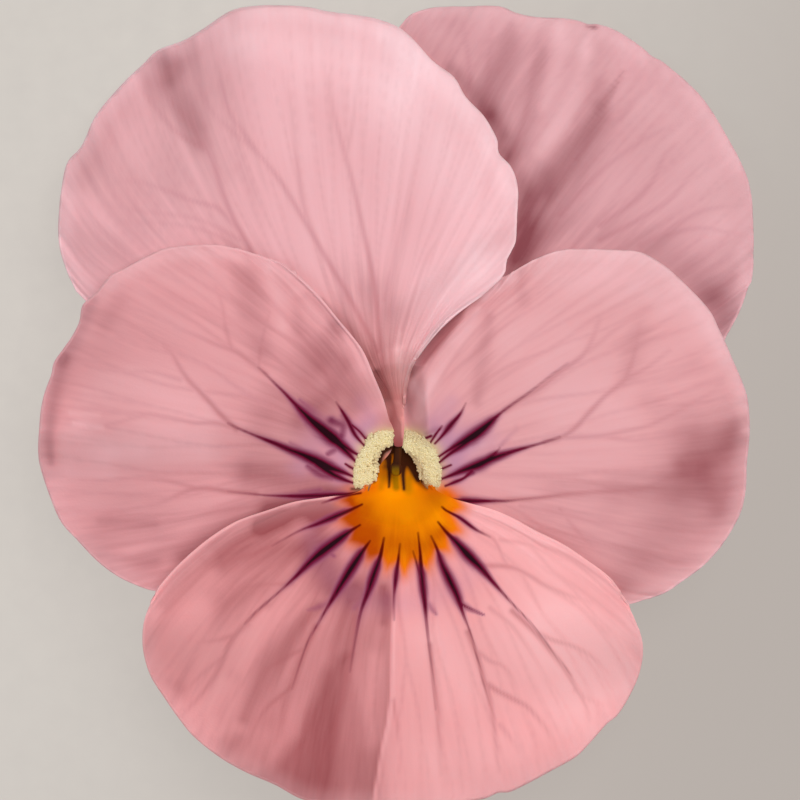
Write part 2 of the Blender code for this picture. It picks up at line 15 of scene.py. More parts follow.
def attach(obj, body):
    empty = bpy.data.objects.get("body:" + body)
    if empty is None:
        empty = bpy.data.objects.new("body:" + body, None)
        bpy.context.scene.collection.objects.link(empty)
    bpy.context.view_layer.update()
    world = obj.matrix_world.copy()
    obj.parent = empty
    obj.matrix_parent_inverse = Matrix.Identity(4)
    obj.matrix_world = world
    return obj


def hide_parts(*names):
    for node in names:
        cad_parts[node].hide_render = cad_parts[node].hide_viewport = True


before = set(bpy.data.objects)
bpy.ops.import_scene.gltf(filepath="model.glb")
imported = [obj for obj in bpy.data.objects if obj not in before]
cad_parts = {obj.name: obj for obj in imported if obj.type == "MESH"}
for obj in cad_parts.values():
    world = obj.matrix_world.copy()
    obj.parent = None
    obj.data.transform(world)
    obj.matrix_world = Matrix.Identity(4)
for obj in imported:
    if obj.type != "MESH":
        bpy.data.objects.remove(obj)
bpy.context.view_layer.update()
bpy.ops.object.select_all(action="DESELECT")

MM = 0.001

# CAMERA, SURFACE AND LIGHT
# The flower lies on pale matt card under a large soft lamp a little to its upper right, with a weaker
# one on the left. The card glows, a painted light that softens the flower's shadows on it, and it is
# painted darker towards its lower right as painted shade. The camera looks straight down on the face,
# as the photograph does.


def srgb(red, green, blue):
    """A colour as a screen shows it, 0 to 255, in the linear values that a shader takes."""
    c = np.array([red, green, blue]) / 255.0
    linear = np.where(c <= 0.04045, c / 12.92, ((c + 0.055) / 1.055) ** 2.4)
    return (*[float(v) for v in linear], 1.0)


def node(tree, kind, sockets=None, **settings):
    """Add a shader node. sockets gives its inputs by name or number: a value, or the socket linked to it."""
    new = tree.nodes.new(kind)
    for key, value in settings.items():
        setattr(new, key, value)
    for key, value in (sockets or {}).items():
        if isinstance(value, bpy.types.NodeSocket):
            tree.links.new(value, new.inputs[key])
        else:
            new.inputs[key].default_value = value
    return new


def mix_colour(tree, amount, first, second, blend="MIX"):
    """The first colour where amount is 0, the second where it is 1."""
    return node(tree, "ShaderNodeMix", {0: amount, 6: first, 7: second},
                data_type="RGBA", blend_type=blend).outputs[2]


def step_up(tree, value, low, high, to_low=0.0, to_high=1.0):
    """A smooth rise of value between low and high."""
    return node(tree, "ShaderNodeMapRange", {0: value, 1: low, 2: high, 3: to_low, 4: to_high},
                interpolation_type="SMOOTHSTEP").outputs[0]


def noise(tree, place, scale, detail, roughness=0.5):
    """Soft random spots or fibres, from 0 to 1."""
    return node(tree, "ShaderNodeTexNoise", {"Vector": place, "Scale": scale, "Detail": detail,
                                             "Roughness": roughness}).outputs["Fac"]


def roughen(tree, shader, height, strength, distance):
    """Raise the surface by height, at most distance millimetres."""
    bump = node(tree, "ShaderNodeBump", {"Height": height, "Strength": strength, "Distance": distance * MM})
    tree.links.new(bump.outputs[0], shader.inputs["Normal"])


def new_material(name, **settings):
    """A material with its shader's settings, and the object's own coordinates for its pattern."""
    mat = bpy.data.materials.new(name)
    mat.use_nodes = True
    shader = mat.node_tree.nodes["Principled BSDF"]
    for socket, value in settings.items():
        shader.inputs[socket.replace("_", " ")].default_value = value
    return mat, mat.node_tree, shader, node(mat.node_tree, "ShaderNodeTexCoord").outputs["Object"]


# The camera's place in millimetres. At TRUE_SCALE above the card, 20 pixels are a millimetre.
CAMERA_X, CAMERA_Y, CAMERA_HEIGHT, TRUE_SCALE = 0.1, 3.5, 170.2, 3.5
camera_data = bpy.data.cameras.new("camera")
camera_data.lens = 150
camera_data.sensor_width = 36
camera_data.clip_start = 0.01
camera_data.clip_end = 20
camera = bpy.data.objects.new("camera", camera_data)
camera.location = (CAMERA_X * MM, CAMERA_Y * MM, CAMERA_HEIGHT * MM)
bpy.context.scene.collection.objects.link(camera)
bpy.context.scene.camera = camera

bpy.ops.mesh.primitive_plane_add(size=6.0, location=(0.0, 0.0, 0.0))
card = bpy.context.object
card.name = "card"
# The card glows strongly, a painted light that fills in the flower's shadows on it.
card_mat, tree, shader, place = new_material("pale_card", Roughness=0.9, Emission_Strength=5.0,
                                             Specular_IOR_Level=0.1)
paper = mix_colour(tree, noise(tree, place, 900.0, 4.0), srgb(89, 86, 83), srgb(95, 92, 88))
paper = mix_colour(tree, noise(tree, place, 6.0, 1.0), paper, srgb(92, 89, 86))
axes = node(tree, "ShaderNodeSeparateXYZ", {0: place})
# Painted shade: the card's colour darkens towards its lower right, as if the lamps' light fell off there.
from_lamp = node(tree, "ShaderNodeMath", {0: axes.outputs["Y"], 1: -0.45, 2: axes.outputs["X"]},
                 operation="MULTIPLY_ADD").outputs[0]
paper = mix_colour(tree, step_up(tree, from_lamp, -20.0 * MM, 26.0 * MM), paper, srgb(80, 76, 73))
for socket in ("Base Color", "Emission Color"):
    tree.links.new(paper, shader.inputs[socket])
card.data.materials.append(card_mat)

for name, place, size, power, colour in (
        ("key", (0.14, 0.13, 0.42), 0.34, 1.5, (1.0, 0.985, 0.96)),
        ("fill", (-0.36, -0.10, 0.36), 0.40, 0.5, (0.96, 0.98, 1.0))):
    lamp_data = bpy.data.lights.new(name, "AREA")
    lamp_data.shape = "DISK"
    lamp_data.size = size
    lamp_data.energy = power
    lamp_data.color = colour
    lamp = bpy.data.objects.new(name, lamp_data)
    lamp.location = place
    lamp.rotation_euler = (Vector((0.0, 0.0, 0.004)) - Vector(place)).to_track_quat("-Z", "Y").to_euler()
    bpy.context.scene.collection.objects.link(lamp)
world = bpy.data.worlds.new("studio")
world.use_nodes = True
world.node_tree.nodes["Background"].inputs["Color"].default_value = (0.86, 0.87, 0.90, 1.0)
world.node_tree.nodes["Background"].inputs["Strength"].default_value = 0.35
bpy.context.scene.world = world
bpy.context.scene.view_settings.view_transform = "Standard"

# FLOWER STALK
# The stalk lies along the card, angular and faintly grooved, and its end curls up into the receptacle,
# the cup that carries everything else. Two scale-like bracteoles stand on it.


def smoothstep(start, end, value):
    """A smooth rise from 0 at start to 1 at end."""
    t = np.clip((value - start) / (end - start), 0.0, 1.0)
    return t * t * (3.0 - 2.0 * t)


def points_of(obj):
    """The places of an object's mesh points, in millimetres."""
    co = np.empty(len(obj.data.vertices) * 3)
    obj.data.vertices.foreach_get("co", co)
    return co.reshape(-1, 3) / MM


def move_points(obj, co):
    obj.data.vertices.foreach_set("co", (np.asarray(co, float) * MM).ravel())
    obj.data.update()


def add_grid(name, along, across):
    """A grid of points: its first coordinate runs 0 to 1 across, its second 0 to 1 along."""
    bpy.ops.mesh.primitive_grid_add(x_subdivisions=across, y_subdivisions=along, size=1.0)
    obj = bpy.context.object
    obj.name = name
    co = points_of(obj) * MM + 0.5
    return obj, co[:, 1], co[:, 0]


def use_modifier(obj, kind, **settings):
    """Add a modifier and apply it."""
    bpy.ops.object.select_all(action="DESELECT")
    bpy.context.view_layer.objects.active = obj
    obj.select_set(True)
    modifier = obj.modifiers.new(kind.lower(), kind)
    for key, value in settings.items():
        setattr(modifier, key, value)
    bpy.ops.object.modifier_apply(modifier=modifier.name)


def close_seams(obj, distance=0.002, cap=False):
    """Merge doubled points and turn every face outwards. cap closes an open end as well."""
    bpy.ops.object.select_all(action="DESELECT")
    bpy.context.view_layer.objects.active = obj
    obj.select_set(True)
    bpy.ops.object.mode_set(mode="EDIT")
    bpy.ops.mesh.select_all(action="SELECT")
    bpy.ops.mesh.remove_doubles(threshold=distance * MM)
    if cap:
        bpy.ops.mesh.fill_holes(sides=0)
    bpy.ops.mesh.normals_make_consistent(inside=False)
    bpy.ops.object.mode_set(mode="OBJECT")


def join(first, others):
    """Make the others part of the first object."""
    bpy.ops.object.select_all(action="DESELECT")
    for obj in others:
        obj.select_set(True)
    first.select_set(True)
    bpy.context.view_layer.objects.active = first
    bpy.ops.object.join()
    return first


def turned(co, degrees):
    """Points turned about the upright axis."""
    a = math.radians(degrees)
    return np.column_stack([co[:, 0] * math.cos(a) - co[:, 1] * math.sin(a),
                            co[:, 0] * math.sin(a) + co[:, 1] * math.cos(a), co[:, 2]])


def keep_values(obj, **values):
    """Store one number for each mesh point under each name, for the material to read."""
    for name, value in values.items():
        attribute = obj.data.attributes.new(name, "FLOAT", "POINT")
        attribute.data.foreach_set("value", np.asarray(value, np.float32))


def finish_piece(obj, material, slot, *nodes):
    """Shade the piece smooth, give it its finish, and let it ride in place of its CAD nodes."""
    obj.data.materials.clear()
    obj.data.materials.append(material)
    obj.data.shade_smooth()
    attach(obj, "root")
    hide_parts(*nodes)


def round_bar(name, line, radius, sides, lobes=0, depth=0.0):
    """A closed bar along a line of points. Its section may have lobes, and both its ends are capped."""
    line = np.asarray(line, float)
    radius = np.broadcast_to(np.asarray(radius, float), len(line))
    obj, u, v = add_grid(name, len(line) - 1, sides)
    row = np.rint(u * (len(line) - 1)).astype(int)
    heading = np.gradient(line, axis=0)
    heading /= np.linalg.norm(heading, axis=1)[:, None]
    side = np.cross(heading, (1.0, 0.0, 0.0) if abs(heading[:, 0]).mean() < 0.6 else (0.0, 0.0, 1.0))
    side /= np.linalg.norm(side, axis=1)[:, None]
    up = np.cross(heading, side)
    turn = 2.0 * np.pi * v
    r = radius[row] * (1.0 - depth * (0.5 + 0.5 * np.cos(lobes * turn)))
    co = line[row] + r[:, None] * (np.cos(turn)[:, None] * side[row] + np.sin(turn)[:, None] * up[row])
    move_points(obj, co)
    close_seams(obj, cap=True)
    return obj


SEAT_Y = 1.9
CUT_Y = -30.0
ROUNDING = np.array([0.0, 0.45, 0.8, 0.95, 1.0])
STALK_RADIUS = 0.66
stalk_y = np.concatenate([CUT_Y + np.array([0.0, 0.01, 0.05, 0.12, 0.25]), np.linspace(-29.4, 1.2, 60)])
bow = 2.2 * smoothstep(6.0, 32.0, -stalk_y) ** 1.2
lie = 0.70 + 0.06 * np.sin(stalk_y * 0.45) ** 2
route = np.column_stack([bow, stalk_y, lie])
turns = np.radians(np.linspace(-84, 90, 22))
crook = np.column_stack([np.zeros(len(turns)), 2.3 + 1.28 * np.cos(turns), 1.97 + 1.24 * np.sin(turns)])
route = np.vstack([route, crook])
girth = STALK_RADIUS * np.concatenate([ROUNDING, np.ones(len(route) - len(ROUNDING))])
girth[len(ROUNDING):] += 0.03 * np.sin(np.linspace(0.0, 9.0, len(route) - len(ROUNDING)))
stalk = round_bar("flower_stalk", route, girth, 36, lobes=4, depth=0.12)

bpy.ops.mesh.primitive_uv_sphere_add(segments=40, ring_count=24, radius=1.0)
cup = bpy.context.object
co = points_of(cup) * MM
height = 3.65 + 1.05 * co[:, 2]
width = np.interp(height, [2.6, 2.75, 3.2, 3.9, 4.3, 4.6, 4.7], [0.45, 0.72, 1.08, 1.34, 1.38, 1.3, 1.1])
flat = np.hypot(co[:, 0], co[:, 1])
ring = np.where(flat > 1e-4, width * np.minimum(1.0, flat * 3.0) / np.maximum(flat, 1e-4), 0.0)
angle = np.arctan2(co[:, 1], co[:, 0])
ring *= 1.0 - 0.05 * np.cos(5.0 * angle)
move_points(cup, np.column_stack([co[:, 0] * ring, SEAT_Y + co[:, 1] * ring, height]))

scales = []
for side in (-1, 1):
    scale, u, v = add_grid("bracteole", 16, 10)
    half = 0.36 * np.sin(np.pi * np.clip(0.22 + 0.78 * u, 0.0, 1.0)) ** 0.8 + 0.02
    across = (2.0 * v - 1.0) * half
    out = 0.62 + 0.75 * u + 0.2 * u ** 2
    x = side * out
    y = -9.5 + 0.7 * side - 1.1 + 2.3 * u + 0.35 * side * across
    z = 0.85 + across * 0.9 + 0.25 * u
    move_points(scale, np.column_stack([x, y, z]))
    use_modifier(scale, "SOLIDIFY", thickness=0.16 * MM, offset=0.0)
    close_seams(scale)
    scales.append(scale)
join(stalk, [cup, *scales])

stalk_mat, tree, shader, place = new_material("stalk_skin", Roughness=0.48)
lengthways = node(tree, "ShaderNodeMapping", {"Vector": place, "Scale": (5200.0, 420.0, 5200.0)}).outputs[0]
cells = noise(tree, lengthways, 1.0, 3.0)
green = mix_colour(tree, cells, srgb(92, 116, 48), srgb(142, 160, 84))
flush = step_up(tree, noise(tree, place, 260.0, 3.0), 0.52, 0.75, 0.0, 0.55)
green = mix_colour(tree, flush, green, srgb(128, 88, 62))
cut_end = node(tree, "ShaderNodeSeparateXYZ", {0: place}).outputs["Y"]
cut_end = step_up(tree, cut_end, (CUT_Y + 0.05) * MM, (CUT_Y + 0.15) * MM, 1.0, 0.0)
green = mix_colour(tree, cut_end, green, srgb(196, 204, 150))
tree.links.new(green, shader.inputs["Base Color"])
roughen(tree, shader, cells, 0.35, 0.05)
finish_piece(stalk, stalk_mat, "stalk_green", "stalk")

# SEPALS
# Five green lance-shaped sepals stand out behind the petals, each with a raised midrib, a paler thin
# margin and a short ear that hangs below its seat.
SEPAL_ANGLES = {"top": 90, "upper_left": 155, "upper_right": 25, "lower_left": 215, "lower_right": 325}
# Along a sepal, from the tip of its ear: distance from the flower's axis, height and half width.
stations = np.array([(2.55, 3.1, 0.4), (2.2, 3.7, 0.75), (1.95, 4.3, 0.85), (2.6, 4.75, 0.95),
                     (4.2, 4.95, 1.15), (6.0, 5.05, 1.05), (8.2, 5.0, 0.75), (10.15, 4.7, 0.34)])


def attribute(tree, name):
    """The values that keep_values stored under a name."""
    return node(tree, "ShaderNodeAttribute", attribute_name=name).outputs["Fac"]


def near(gap, width):
    """1 on a line or at a place, falling off smoothly with the distance from it."""
    return np.exp(-(gap / width) ** 2)


def smooth_line(points, count):
    """A smooth curve through points, as count points an even distance apart."""
    p = np.array(points, float)
    p = np.vstack([2 * p[0] - p[1], p, 2 * p[-1] - p[-2]])
    t = np.linspace(0.0, 1.0, 24, endpoint=False)[:, None]
    fine = []
    for a, b, c, d in zip(p[:-3], p[1:-2], p[2:-1], p[3:]):
        fine.append(0.5 * (2 * b + (c - a) * t + (2 * a - 5 * b + 4 * c - d) * t ** 2
                           + (3 * b - a - 3 * c + d) * t ** 3))
    fine = np.vstack(fine + [p[-2:-1]])
    run = np.concatenate([[0.0], np.cumsum(np.linalg.norm(np.diff(fine, axis=0), axis=1))])
    even = np.linspace(0.0, run[-1], count)
    return np.stack([np.interp(even, run, fine[:, k]) for k in range(fine.shape[1])], axis=1)


sepal_line = smooth_line(stations, 71)
sepal_mat, tree, shader, place = new_material("sepal_leaf", Roughness=0.5)
across = attribute(tree, "across")
mottle = noise(tree, place, 1500.0, 4.0)
green = mix_colour(tree, mottle, srgb(66, 92, 34), srgb(112, 138, 62))
green = mix_colour(tree, step_up(tree, across, 0.0, 0.16, 0.6, 0.0), green, srgb(150, 168, 96))
green = mix_colour(tree, step_up(tree, across, 0.82, 0.98, 0.0, 0.8), green, srgb(178, 176, 128))
tree.links.new(green, shader.inputs["Base Color"])
roughen(tree, shader, mottle, 0.4, 0.04)
for label, angle in SEPAL_ANGLES.items():
    sepal, u, v = add_grid("sepal_" + label + "_leaf", len(sepal_line) - 1, 20)
    out, level, half = sepal_line[np.rint(u * (len(sepal_line) - 1)).astype(int)].T
    side = 2.0 * v - 1.0
    tip = 1.0 - 0.9 * smoothstep(0.9, 1.0, u) ** 2
    teeth = 1.0 + 0.025 * np.sin(60.0 * u + angle)
    rib = 0.10 * near(side, 0.16) - 0.10 * side ** 2
    level = level - 0.28 + rib * half + 0.03 * np.sin(9.0 * u + angle)
    co = np.column_stack([out, side * half * tip * teeth, level])
    keep_values(sepal, across=np.abs(side))
    move_points(sepal, turned(co, angle) + (0.0, SEAT_Y, 0.0))
    use_modifier(sepal, "SOLIDIFY", thickness=0.34 * MM, offset=-1.0)
    finish_piece(sepal, sepal_mat, "sepal_green", "sepal_" + label)

# UPPER RIGHT PETAL
# The petal at the back of all. Each petal is a thin blade on a narrow claw: a grid of points is laid
# between its two sides, its base and its margin, raised to the petal's waves, and given its thickness.
LAYER = 0.97
THICKNESS = 0.3
PIXELS_PER_MM = 20.0
THROAT_PIXEL = (398.0, 470.0)


def photo(points):
    """Places in the photograph, in its pixels, as millimetres from the throat. Further columns stay."""
    p = np.array(points, float)
    p[:, 0] = (p[:, 0] - THROAT_PIXEL[0]) / PIXELS_PER_MM
    p[:, 1] = (THROAT_PIXEL[1] - p[:, 1]) / PIXELS_PER_MM
    return p


def distance_to(x, y, path):
    """Distance from each point to a path of straight pieces."""
    best = np.full(np.shape(x), 1e9)
    for (ax, ay), (bx, by) in zip(path[:-1], path[1:]):
        dx, dy = bx - ax, by - ay
        t = np.clip(((x - ax) * dx + (y - ay) * dy) / (dx * dx + dy * dy), 0.0, 1.0)
        best = np.minimum(best, np.hypot(x - ax - t * dx, y - ay - t * dy))
    return best


def dome(x, y):
    """The dome that all five petals share, in millimetres above the card."""
    r = np.hypot(x, y)
    fall = 6.0 * np.clip((r - 3.0) / 21.5, 0.0, None) ** 1.7
    return 7.4 - fall - near(r, 2.5)


def swells(x, y, waves):
    """Round swells and hollows, each with its middle, its height and its width in millimetres."""
    return sum(height * near(np.hypot(x - cx, y - cy), width) for cx, cy, height, width in waves)


def patch(base, left, margin, right, narrow=1.0):
    """A map from (u, v) to the plane: u runs from the base to the margin, v from the left side to the right.
    narrow above 1 keeps the margin's curve out of a long narrow base, which would fold otherwise."""
    lines = [smooth_line(photo(line), 600) for line in (base, left, margin, right)]
    t = np.linspace(0.0, 1.0, 600)

    def at(line, s):
        return np.stack([np.interp(s, t, line[:, 0]), np.interp(s, t, line[:, 1])], axis=-1)

    def place(u, v):
        u, v = np.asarray(u, float), np.asarray(v, float)
        b, l, m, r = (at(line, s) for line, s in zip(lines, (v, u, v, u)))
        u = u[..., None] ** narrow
        v = smoothstep(0.0, 1.0, v[..., None]) if narrow > 1.0 else v[..., None]
        corners = ((1 - u) * (1 - v) * lines[0][0] + (1 - u) * v * lines[0][-1]
                   + u * (1 - v) * lines[2][0] + u * v * lines[2][-1])
        return (1 - u) * b + u * m + (1 - v) * l + v * r - corners

    edge = np.vstack([lines[1][60:], lines[2], lines[3][60:][::-1]])
    return place, edge


def vein_tree(place, seed, mains, first_fork=0.30):
    """Veins that fork on their way to the margin, as points with the half width and strength at each."""
    rng = np.random.default_rng(seed)
    found = []
    branches = [(0.03, (k + 0.5) / mains + 0.12 * rng.uniform(-1, 1) / mains, 0.0, 1.0 / mains, 0)
                for k in range(mains)]
    while branches:
        u, v, shift, gap, level = branches.pop()
        reach = (first_fork if level == 0 else 0.24) * rng.uniform(0.65, 1.35)
        stop = min(u + reach, 0.985)
        s = np.linspace(0.0, 1.0, max(3, int(140 * (stop - u))))
        line_u = u + (stop - u) * s
        wander = gap * 0.10 * np.sin(s * np.pi) * rng.uniform(-1, 1)
        line_v = np.clip(v + shift * (0.35 * s + 0.65 * smoothstep(0.0, 1.0, s)) + wander, 0.003, 0.997)
        xy = place(line_u, line_v)
        width = np.maximum(0.17 * 0.84 ** level * (1.0 - 0.25 * s), 0.1)
        strength = 0.86 ** level * (1.0 - 0.4 * smoothstep(0.88, 0.985, line_u)) * rng.uniform(0.7, 1.0)
        found.append(np.column_stack([xy, width, strength]))
        if stop < 0.97 and level < 5:
            spread = gap * rng.uniform(0.22, 0.30)
            branches.append((stop, line_v[-1], spread, gap / 2, level + 1))
            branches.append((stop, line_v[-1], -spread * rng.uniform(0.7, 1.1), gap / 2, level + 1))
    return np.vstack(found)


def vein_values(leaf, seed, mains, lines):
    """How strongly each point lies on a vein, from 0 to 1, for the forking veins and those listed, which
    have a half width in pixels, a strength and a line. They fade out towards the throat."""
    veins = vein_tree(leaf.place, seed, mains)
    tree = KDTree(len(veins))
    for number, (vx, vy, _, _) in enumerate(veins):
        tree.insert((vx, vy, 0.0), number)
    tree.balance()
    value = np.empty(len(leaf.x))
    for k, (px, py) in enumerate(zip(leaf.x, leaf.y)):
        _, number, gap = tree.find((px, py, 0.0))
        value[k] = veins[number, 3] * math.exp(-(gap / veins[number, 2]) ** 2)
    value *= 0.36
    pieces = 39
    for width, strength, line in lines:
        line = smooth_line(photo(line), pieces + 1)
        for k, (a, b) in enumerate(zip(line[:-1], line[1:])):
            share = k / (pieces - 1)
            fade = strength * (1.0 - 0.75 * share ** 2)
            girth = width * (1.25 - 0.35 * share) / PIXELS_PER_MM
            value = np.maximum(value, fade * near(distance_to(leaf.x, leaf.y, (a, b)), girth))
    return value * smoothstep(1.5, 6.0, leaf.r)


def depth_inside(x, y, outline):
    """Distance inside a closed outline, negative outside it."""
    loop = photo(outline)
    odd = np.zeros(np.shape(x), bool)
    for (ax, ay), (bx, by) in zip(loop, np.roll(loop, -1, axis=0)):
        if ay != by:
            odd ^= ((ay > y) != (by > y)) & (x < ax + (y - ay) * (bx - ax) / (by - ay))
    away = distance_to(x, y, np.vstack([loop, loop[:1]]))
    return np.where(odd, away, -away)


def shading(x, y, strokes, areas=()):
    """Soft strokes and areas. On the petals they paint light and shade, with a little of their own tint, and
    they also lay the washes of the eye's colours. A stroke is a strength and a line whose points carry half
    widths in pixels, an area is a strength, a softness in pixels and an outline."""
    total = np.zeros(len(x))
    for strength, line in strokes:
        spots = photo(line)
        spots[:, 2] /= PIXELS_PER_MM
        if len(spots) > 1:
            run = np.linalg.norm(np.diff(spots[:, :2], axis=0), axis=1).sum()
            spots = smooth_line(spots, int(min(70, 3 + 2.2 * run / spots[:, 2].mean())))
        best = np.zeros(len(x))
        for cx, cy, width in spots:
            best = np.maximum(best, near(np.hypot(x - cx, y - cy), width))
        total += strength * best
    for strength, soft, outline in areas:
        soft /= PIXELS_PER_MM
        total += strength * smoothstep(-soft, soft, depth_inside(x, y, outline))
    return total


def whisker_values(x, y, whiskers):
    """Depth inside the dark whiskers in millimetres, their strength, which fades where they grow thin,
    and the purple haze that spreads round them."""
    inside = np.full(len(x), -1.5)
    strength = np.zeros(len(x))
    haze = np.zeros(len(x))
    full = 0.032 + 0.045 * smoothstep(2.4, 5.0, np.hypot(x, y))
    for line in whiskers:
        line = photo(line)
        line[:, 2] /= PIXELS_PER_MM
        line = smooth_line(line, 6 * len(line))
        for (ax, ay, aw), (bx, by, bw) in zip(line[:-1], line[1:]):
            dx, dy = bx - ax, by - ay
            t = np.clip(((x - ax) * dx + (y - ay) * dy) / (dx * dx + dy * dy), 0.0, 1.0)
            d = np.hypot(x - ax - t * dx, y - ay - t * dy)
            w = aw + (bw - aw) * t
            seen = np.maximum(w, 0.055)
            nearer = seen - d > inside
            strength = np.where(nearer, np.clip(w / full, 0.0, 1.0), strength)
            inside = np.where(nearer, seen - d, inside)
            fringe = np.exp(-(np.maximum(d - w, 0.0) / (0.07 + 0.9 * w)) ** 1.4)
            haze = np.maximum(haze, smoothstep(0.0, 0.13, w) * fringe)
    return inside, strength, haze


def as_seen(co):
    """Draw points towards the camera's axis by as much as their height above 3.5 mm enlarges them, and
    those that lie lower away from it, though not out of the CAD's box."""
    away = (CAMERA_HEIGHT - co[:, 2]) / (CAMERA_HEIGHT - TRUE_SCALE)
    x, y = CAMERA_X + (co[:, 0] - CAMERA_X) * away, CAMERA_Y + (co[:, 1] - CAMERA_Y) * away
    leftmost, rightmost, top, top_give = -17.95, 17.82, 23.1, 0.27
    y = np.where(y > top, top + top_give * np.tanh((y - top) / top_give), y)
    return np.column_stack([np.clip(x, leftmost, rightmost), y, co[:, 2]])


def blade(name, outline, height, rows, columns, ruffle, seed, gather=1.0):
    """The blade of a petal, with its upper face where the CAD's is and its margin ruffled. gather above 1
    sets the rows of points closer together towards the base, where the marks are small. Beside the object
    it gives, for each point: its share of the way out and across, its place, its distance from the throat
    and from the margin, and its height."""
    place, edge = patch(*outline)
    obj, u, v = add_grid(name, rows, columns)
    u = u ** gather
    x, y = place(u, v).T
    r = np.hypot(x, y)
    margin = distance_to(x, y, edge[::3])
    rng = np.random.default_rng(seed)
    wave = np.zeros(len(x))
    for turns, share in ((9, 0.5), (17, 0.9), (31, 0.7), (53, 0.4)):
        wave += share * np.sin(2 * np.pi * (turns * v + rng.uniform()) + 2.0 * np.sin(5.0 * u + seed))
    wave *= smoothstep(3.0, 8.0, r)
    level = height(x, y) + ruffle * wave * np.exp(-margin / 0.9) - 0.05 * np.exp(-margin / 0.25)
    return SimpleNamespace(obj=obj, place=place, u=u, v=v, x=x, y=y, r=r, margin=margin, level=level)


def thicken(obj, thin):
    """Give a blade its thickness below its upper face, down to a share of it where thin is 1."""
    steps = 12
    group = obj.vertex_groups.new(name="body")
    bands = np.rint((1.0 - thin) * steps).astype(int)
    for band in range(1, steps + 1):
        group.add([int(k) for k in np.nonzero(bands == band)[0]], band / steps, "REPLACE")
    use_modifier(obj, "SOLIDIFY", thickness=THICKNESS * MM, offset=-1.0, vertex_group="body",
                 thickness_vertex_group=0.35)
    obj.vertex_groups.clear()


def claw(line, width):
    """The narrow base of a petal, which carries it down to the receptacle."""
    line = smooth_line(line, 26)
    taper = width * (1.0 - 0.55 * smoothstep(0.9, 1.0, np.linspace(0.0, 1.0, len(line))))
    taper[[0, -1]] *= 0.3
    return round_bar("claw", line, taper, 20)


def finish_petal(leaf, veins, tone, marks, base, finish, cad_node, pleats, depth=0.025, foot=(1.8, 3.0)):
    """Sink the veins, pleat the blade finely, thicken it, less at its margin and its foot, and join it to
    its claw or spur."""
    level = leaf.level - 0.02 * veins * smoothstep(3.0, 8.0, leaf.r)
    level += depth * np.sin(pleats * leaf.v + 3.0 * np.sin(4.0 * leaf.u)) * smoothstep(0.35, 0.95, leaf.u)
    move_points(leaf.obj, as_seen(np.column_stack([leaf.x, leaf.y, level])))
    keep_values(leaf.obj, tone=tone, vein=veins, margin=leaf.margin, **marks)
    thin = np.exp(-leaf.margin / 0.35)
    if foot:
        thin = np.maximum(thin, 1.0 - smoothstep(*foot, leaf.r))
    thicken(leaf.obj, thin)
    join(leaf.obj, [base])
    finish_piece(leaf.obj, finish, "petal_pink", cad_node)


# Fine and broad streaks that run out from the claw, and the grain of velvety cells, for all petals.
streak_group = bpy.data.node_groups.new("petal_streaks", "ShaderNodeTree")
for socket, way, kind in (("Vector", "INPUT", "Vector"), ("Place", "INPUT", "Vector"),
                          ("Streaks", "OUTPUT", "Float"), ("Velvet", "OUTPUT", "Float")):
    streak_group.interface.new_socket(socket, in_out=way, socket_type="NodeSocket" + kind)
entry = node(streak_group, "NodeGroupInput").outputs
leave = node(streak_group, "NodeGroupOutput").inputs
both = []
for stretch, detail, roughness in (((22.0, 2.4, 1.0), 3.0, 0.5), ((70.0, 5.0, 1.0), 4.0, 0.6)):
    drawn_out = node(streak_group, "ShaderNodeMapping", {"Vector": entry["Vector"], "Scale": stretch})
    both.append(noise(streak_group, drawn_out.outputs[0], 1.0, detail, roughness))
streaks = node(streak_group, "ShaderNodeMix", {"Factor": 0.3, "A": both[0], "B": both[1]}, data_type="FLOAT")
way_out = node(streak_group, "ShaderNodeSeparateXYZ", {0: entry["Vector"]}).outputs["Y"]
fade_in = step_up(streak_group, way_out, 0.05, 0.6)
streaks = node(streak_group, "ShaderNodeMix", {"Factor": fade_in, "A": 0.5, "B": streaks.outputs[0]},
               data_type="FLOAT")
streak_group.links.new(streaks.outputs[0], leave["Streaks"])
streak_group.links.new(noise(streak_group, entry["Place"], 9000.0, 2.0), leave["Velvet"])


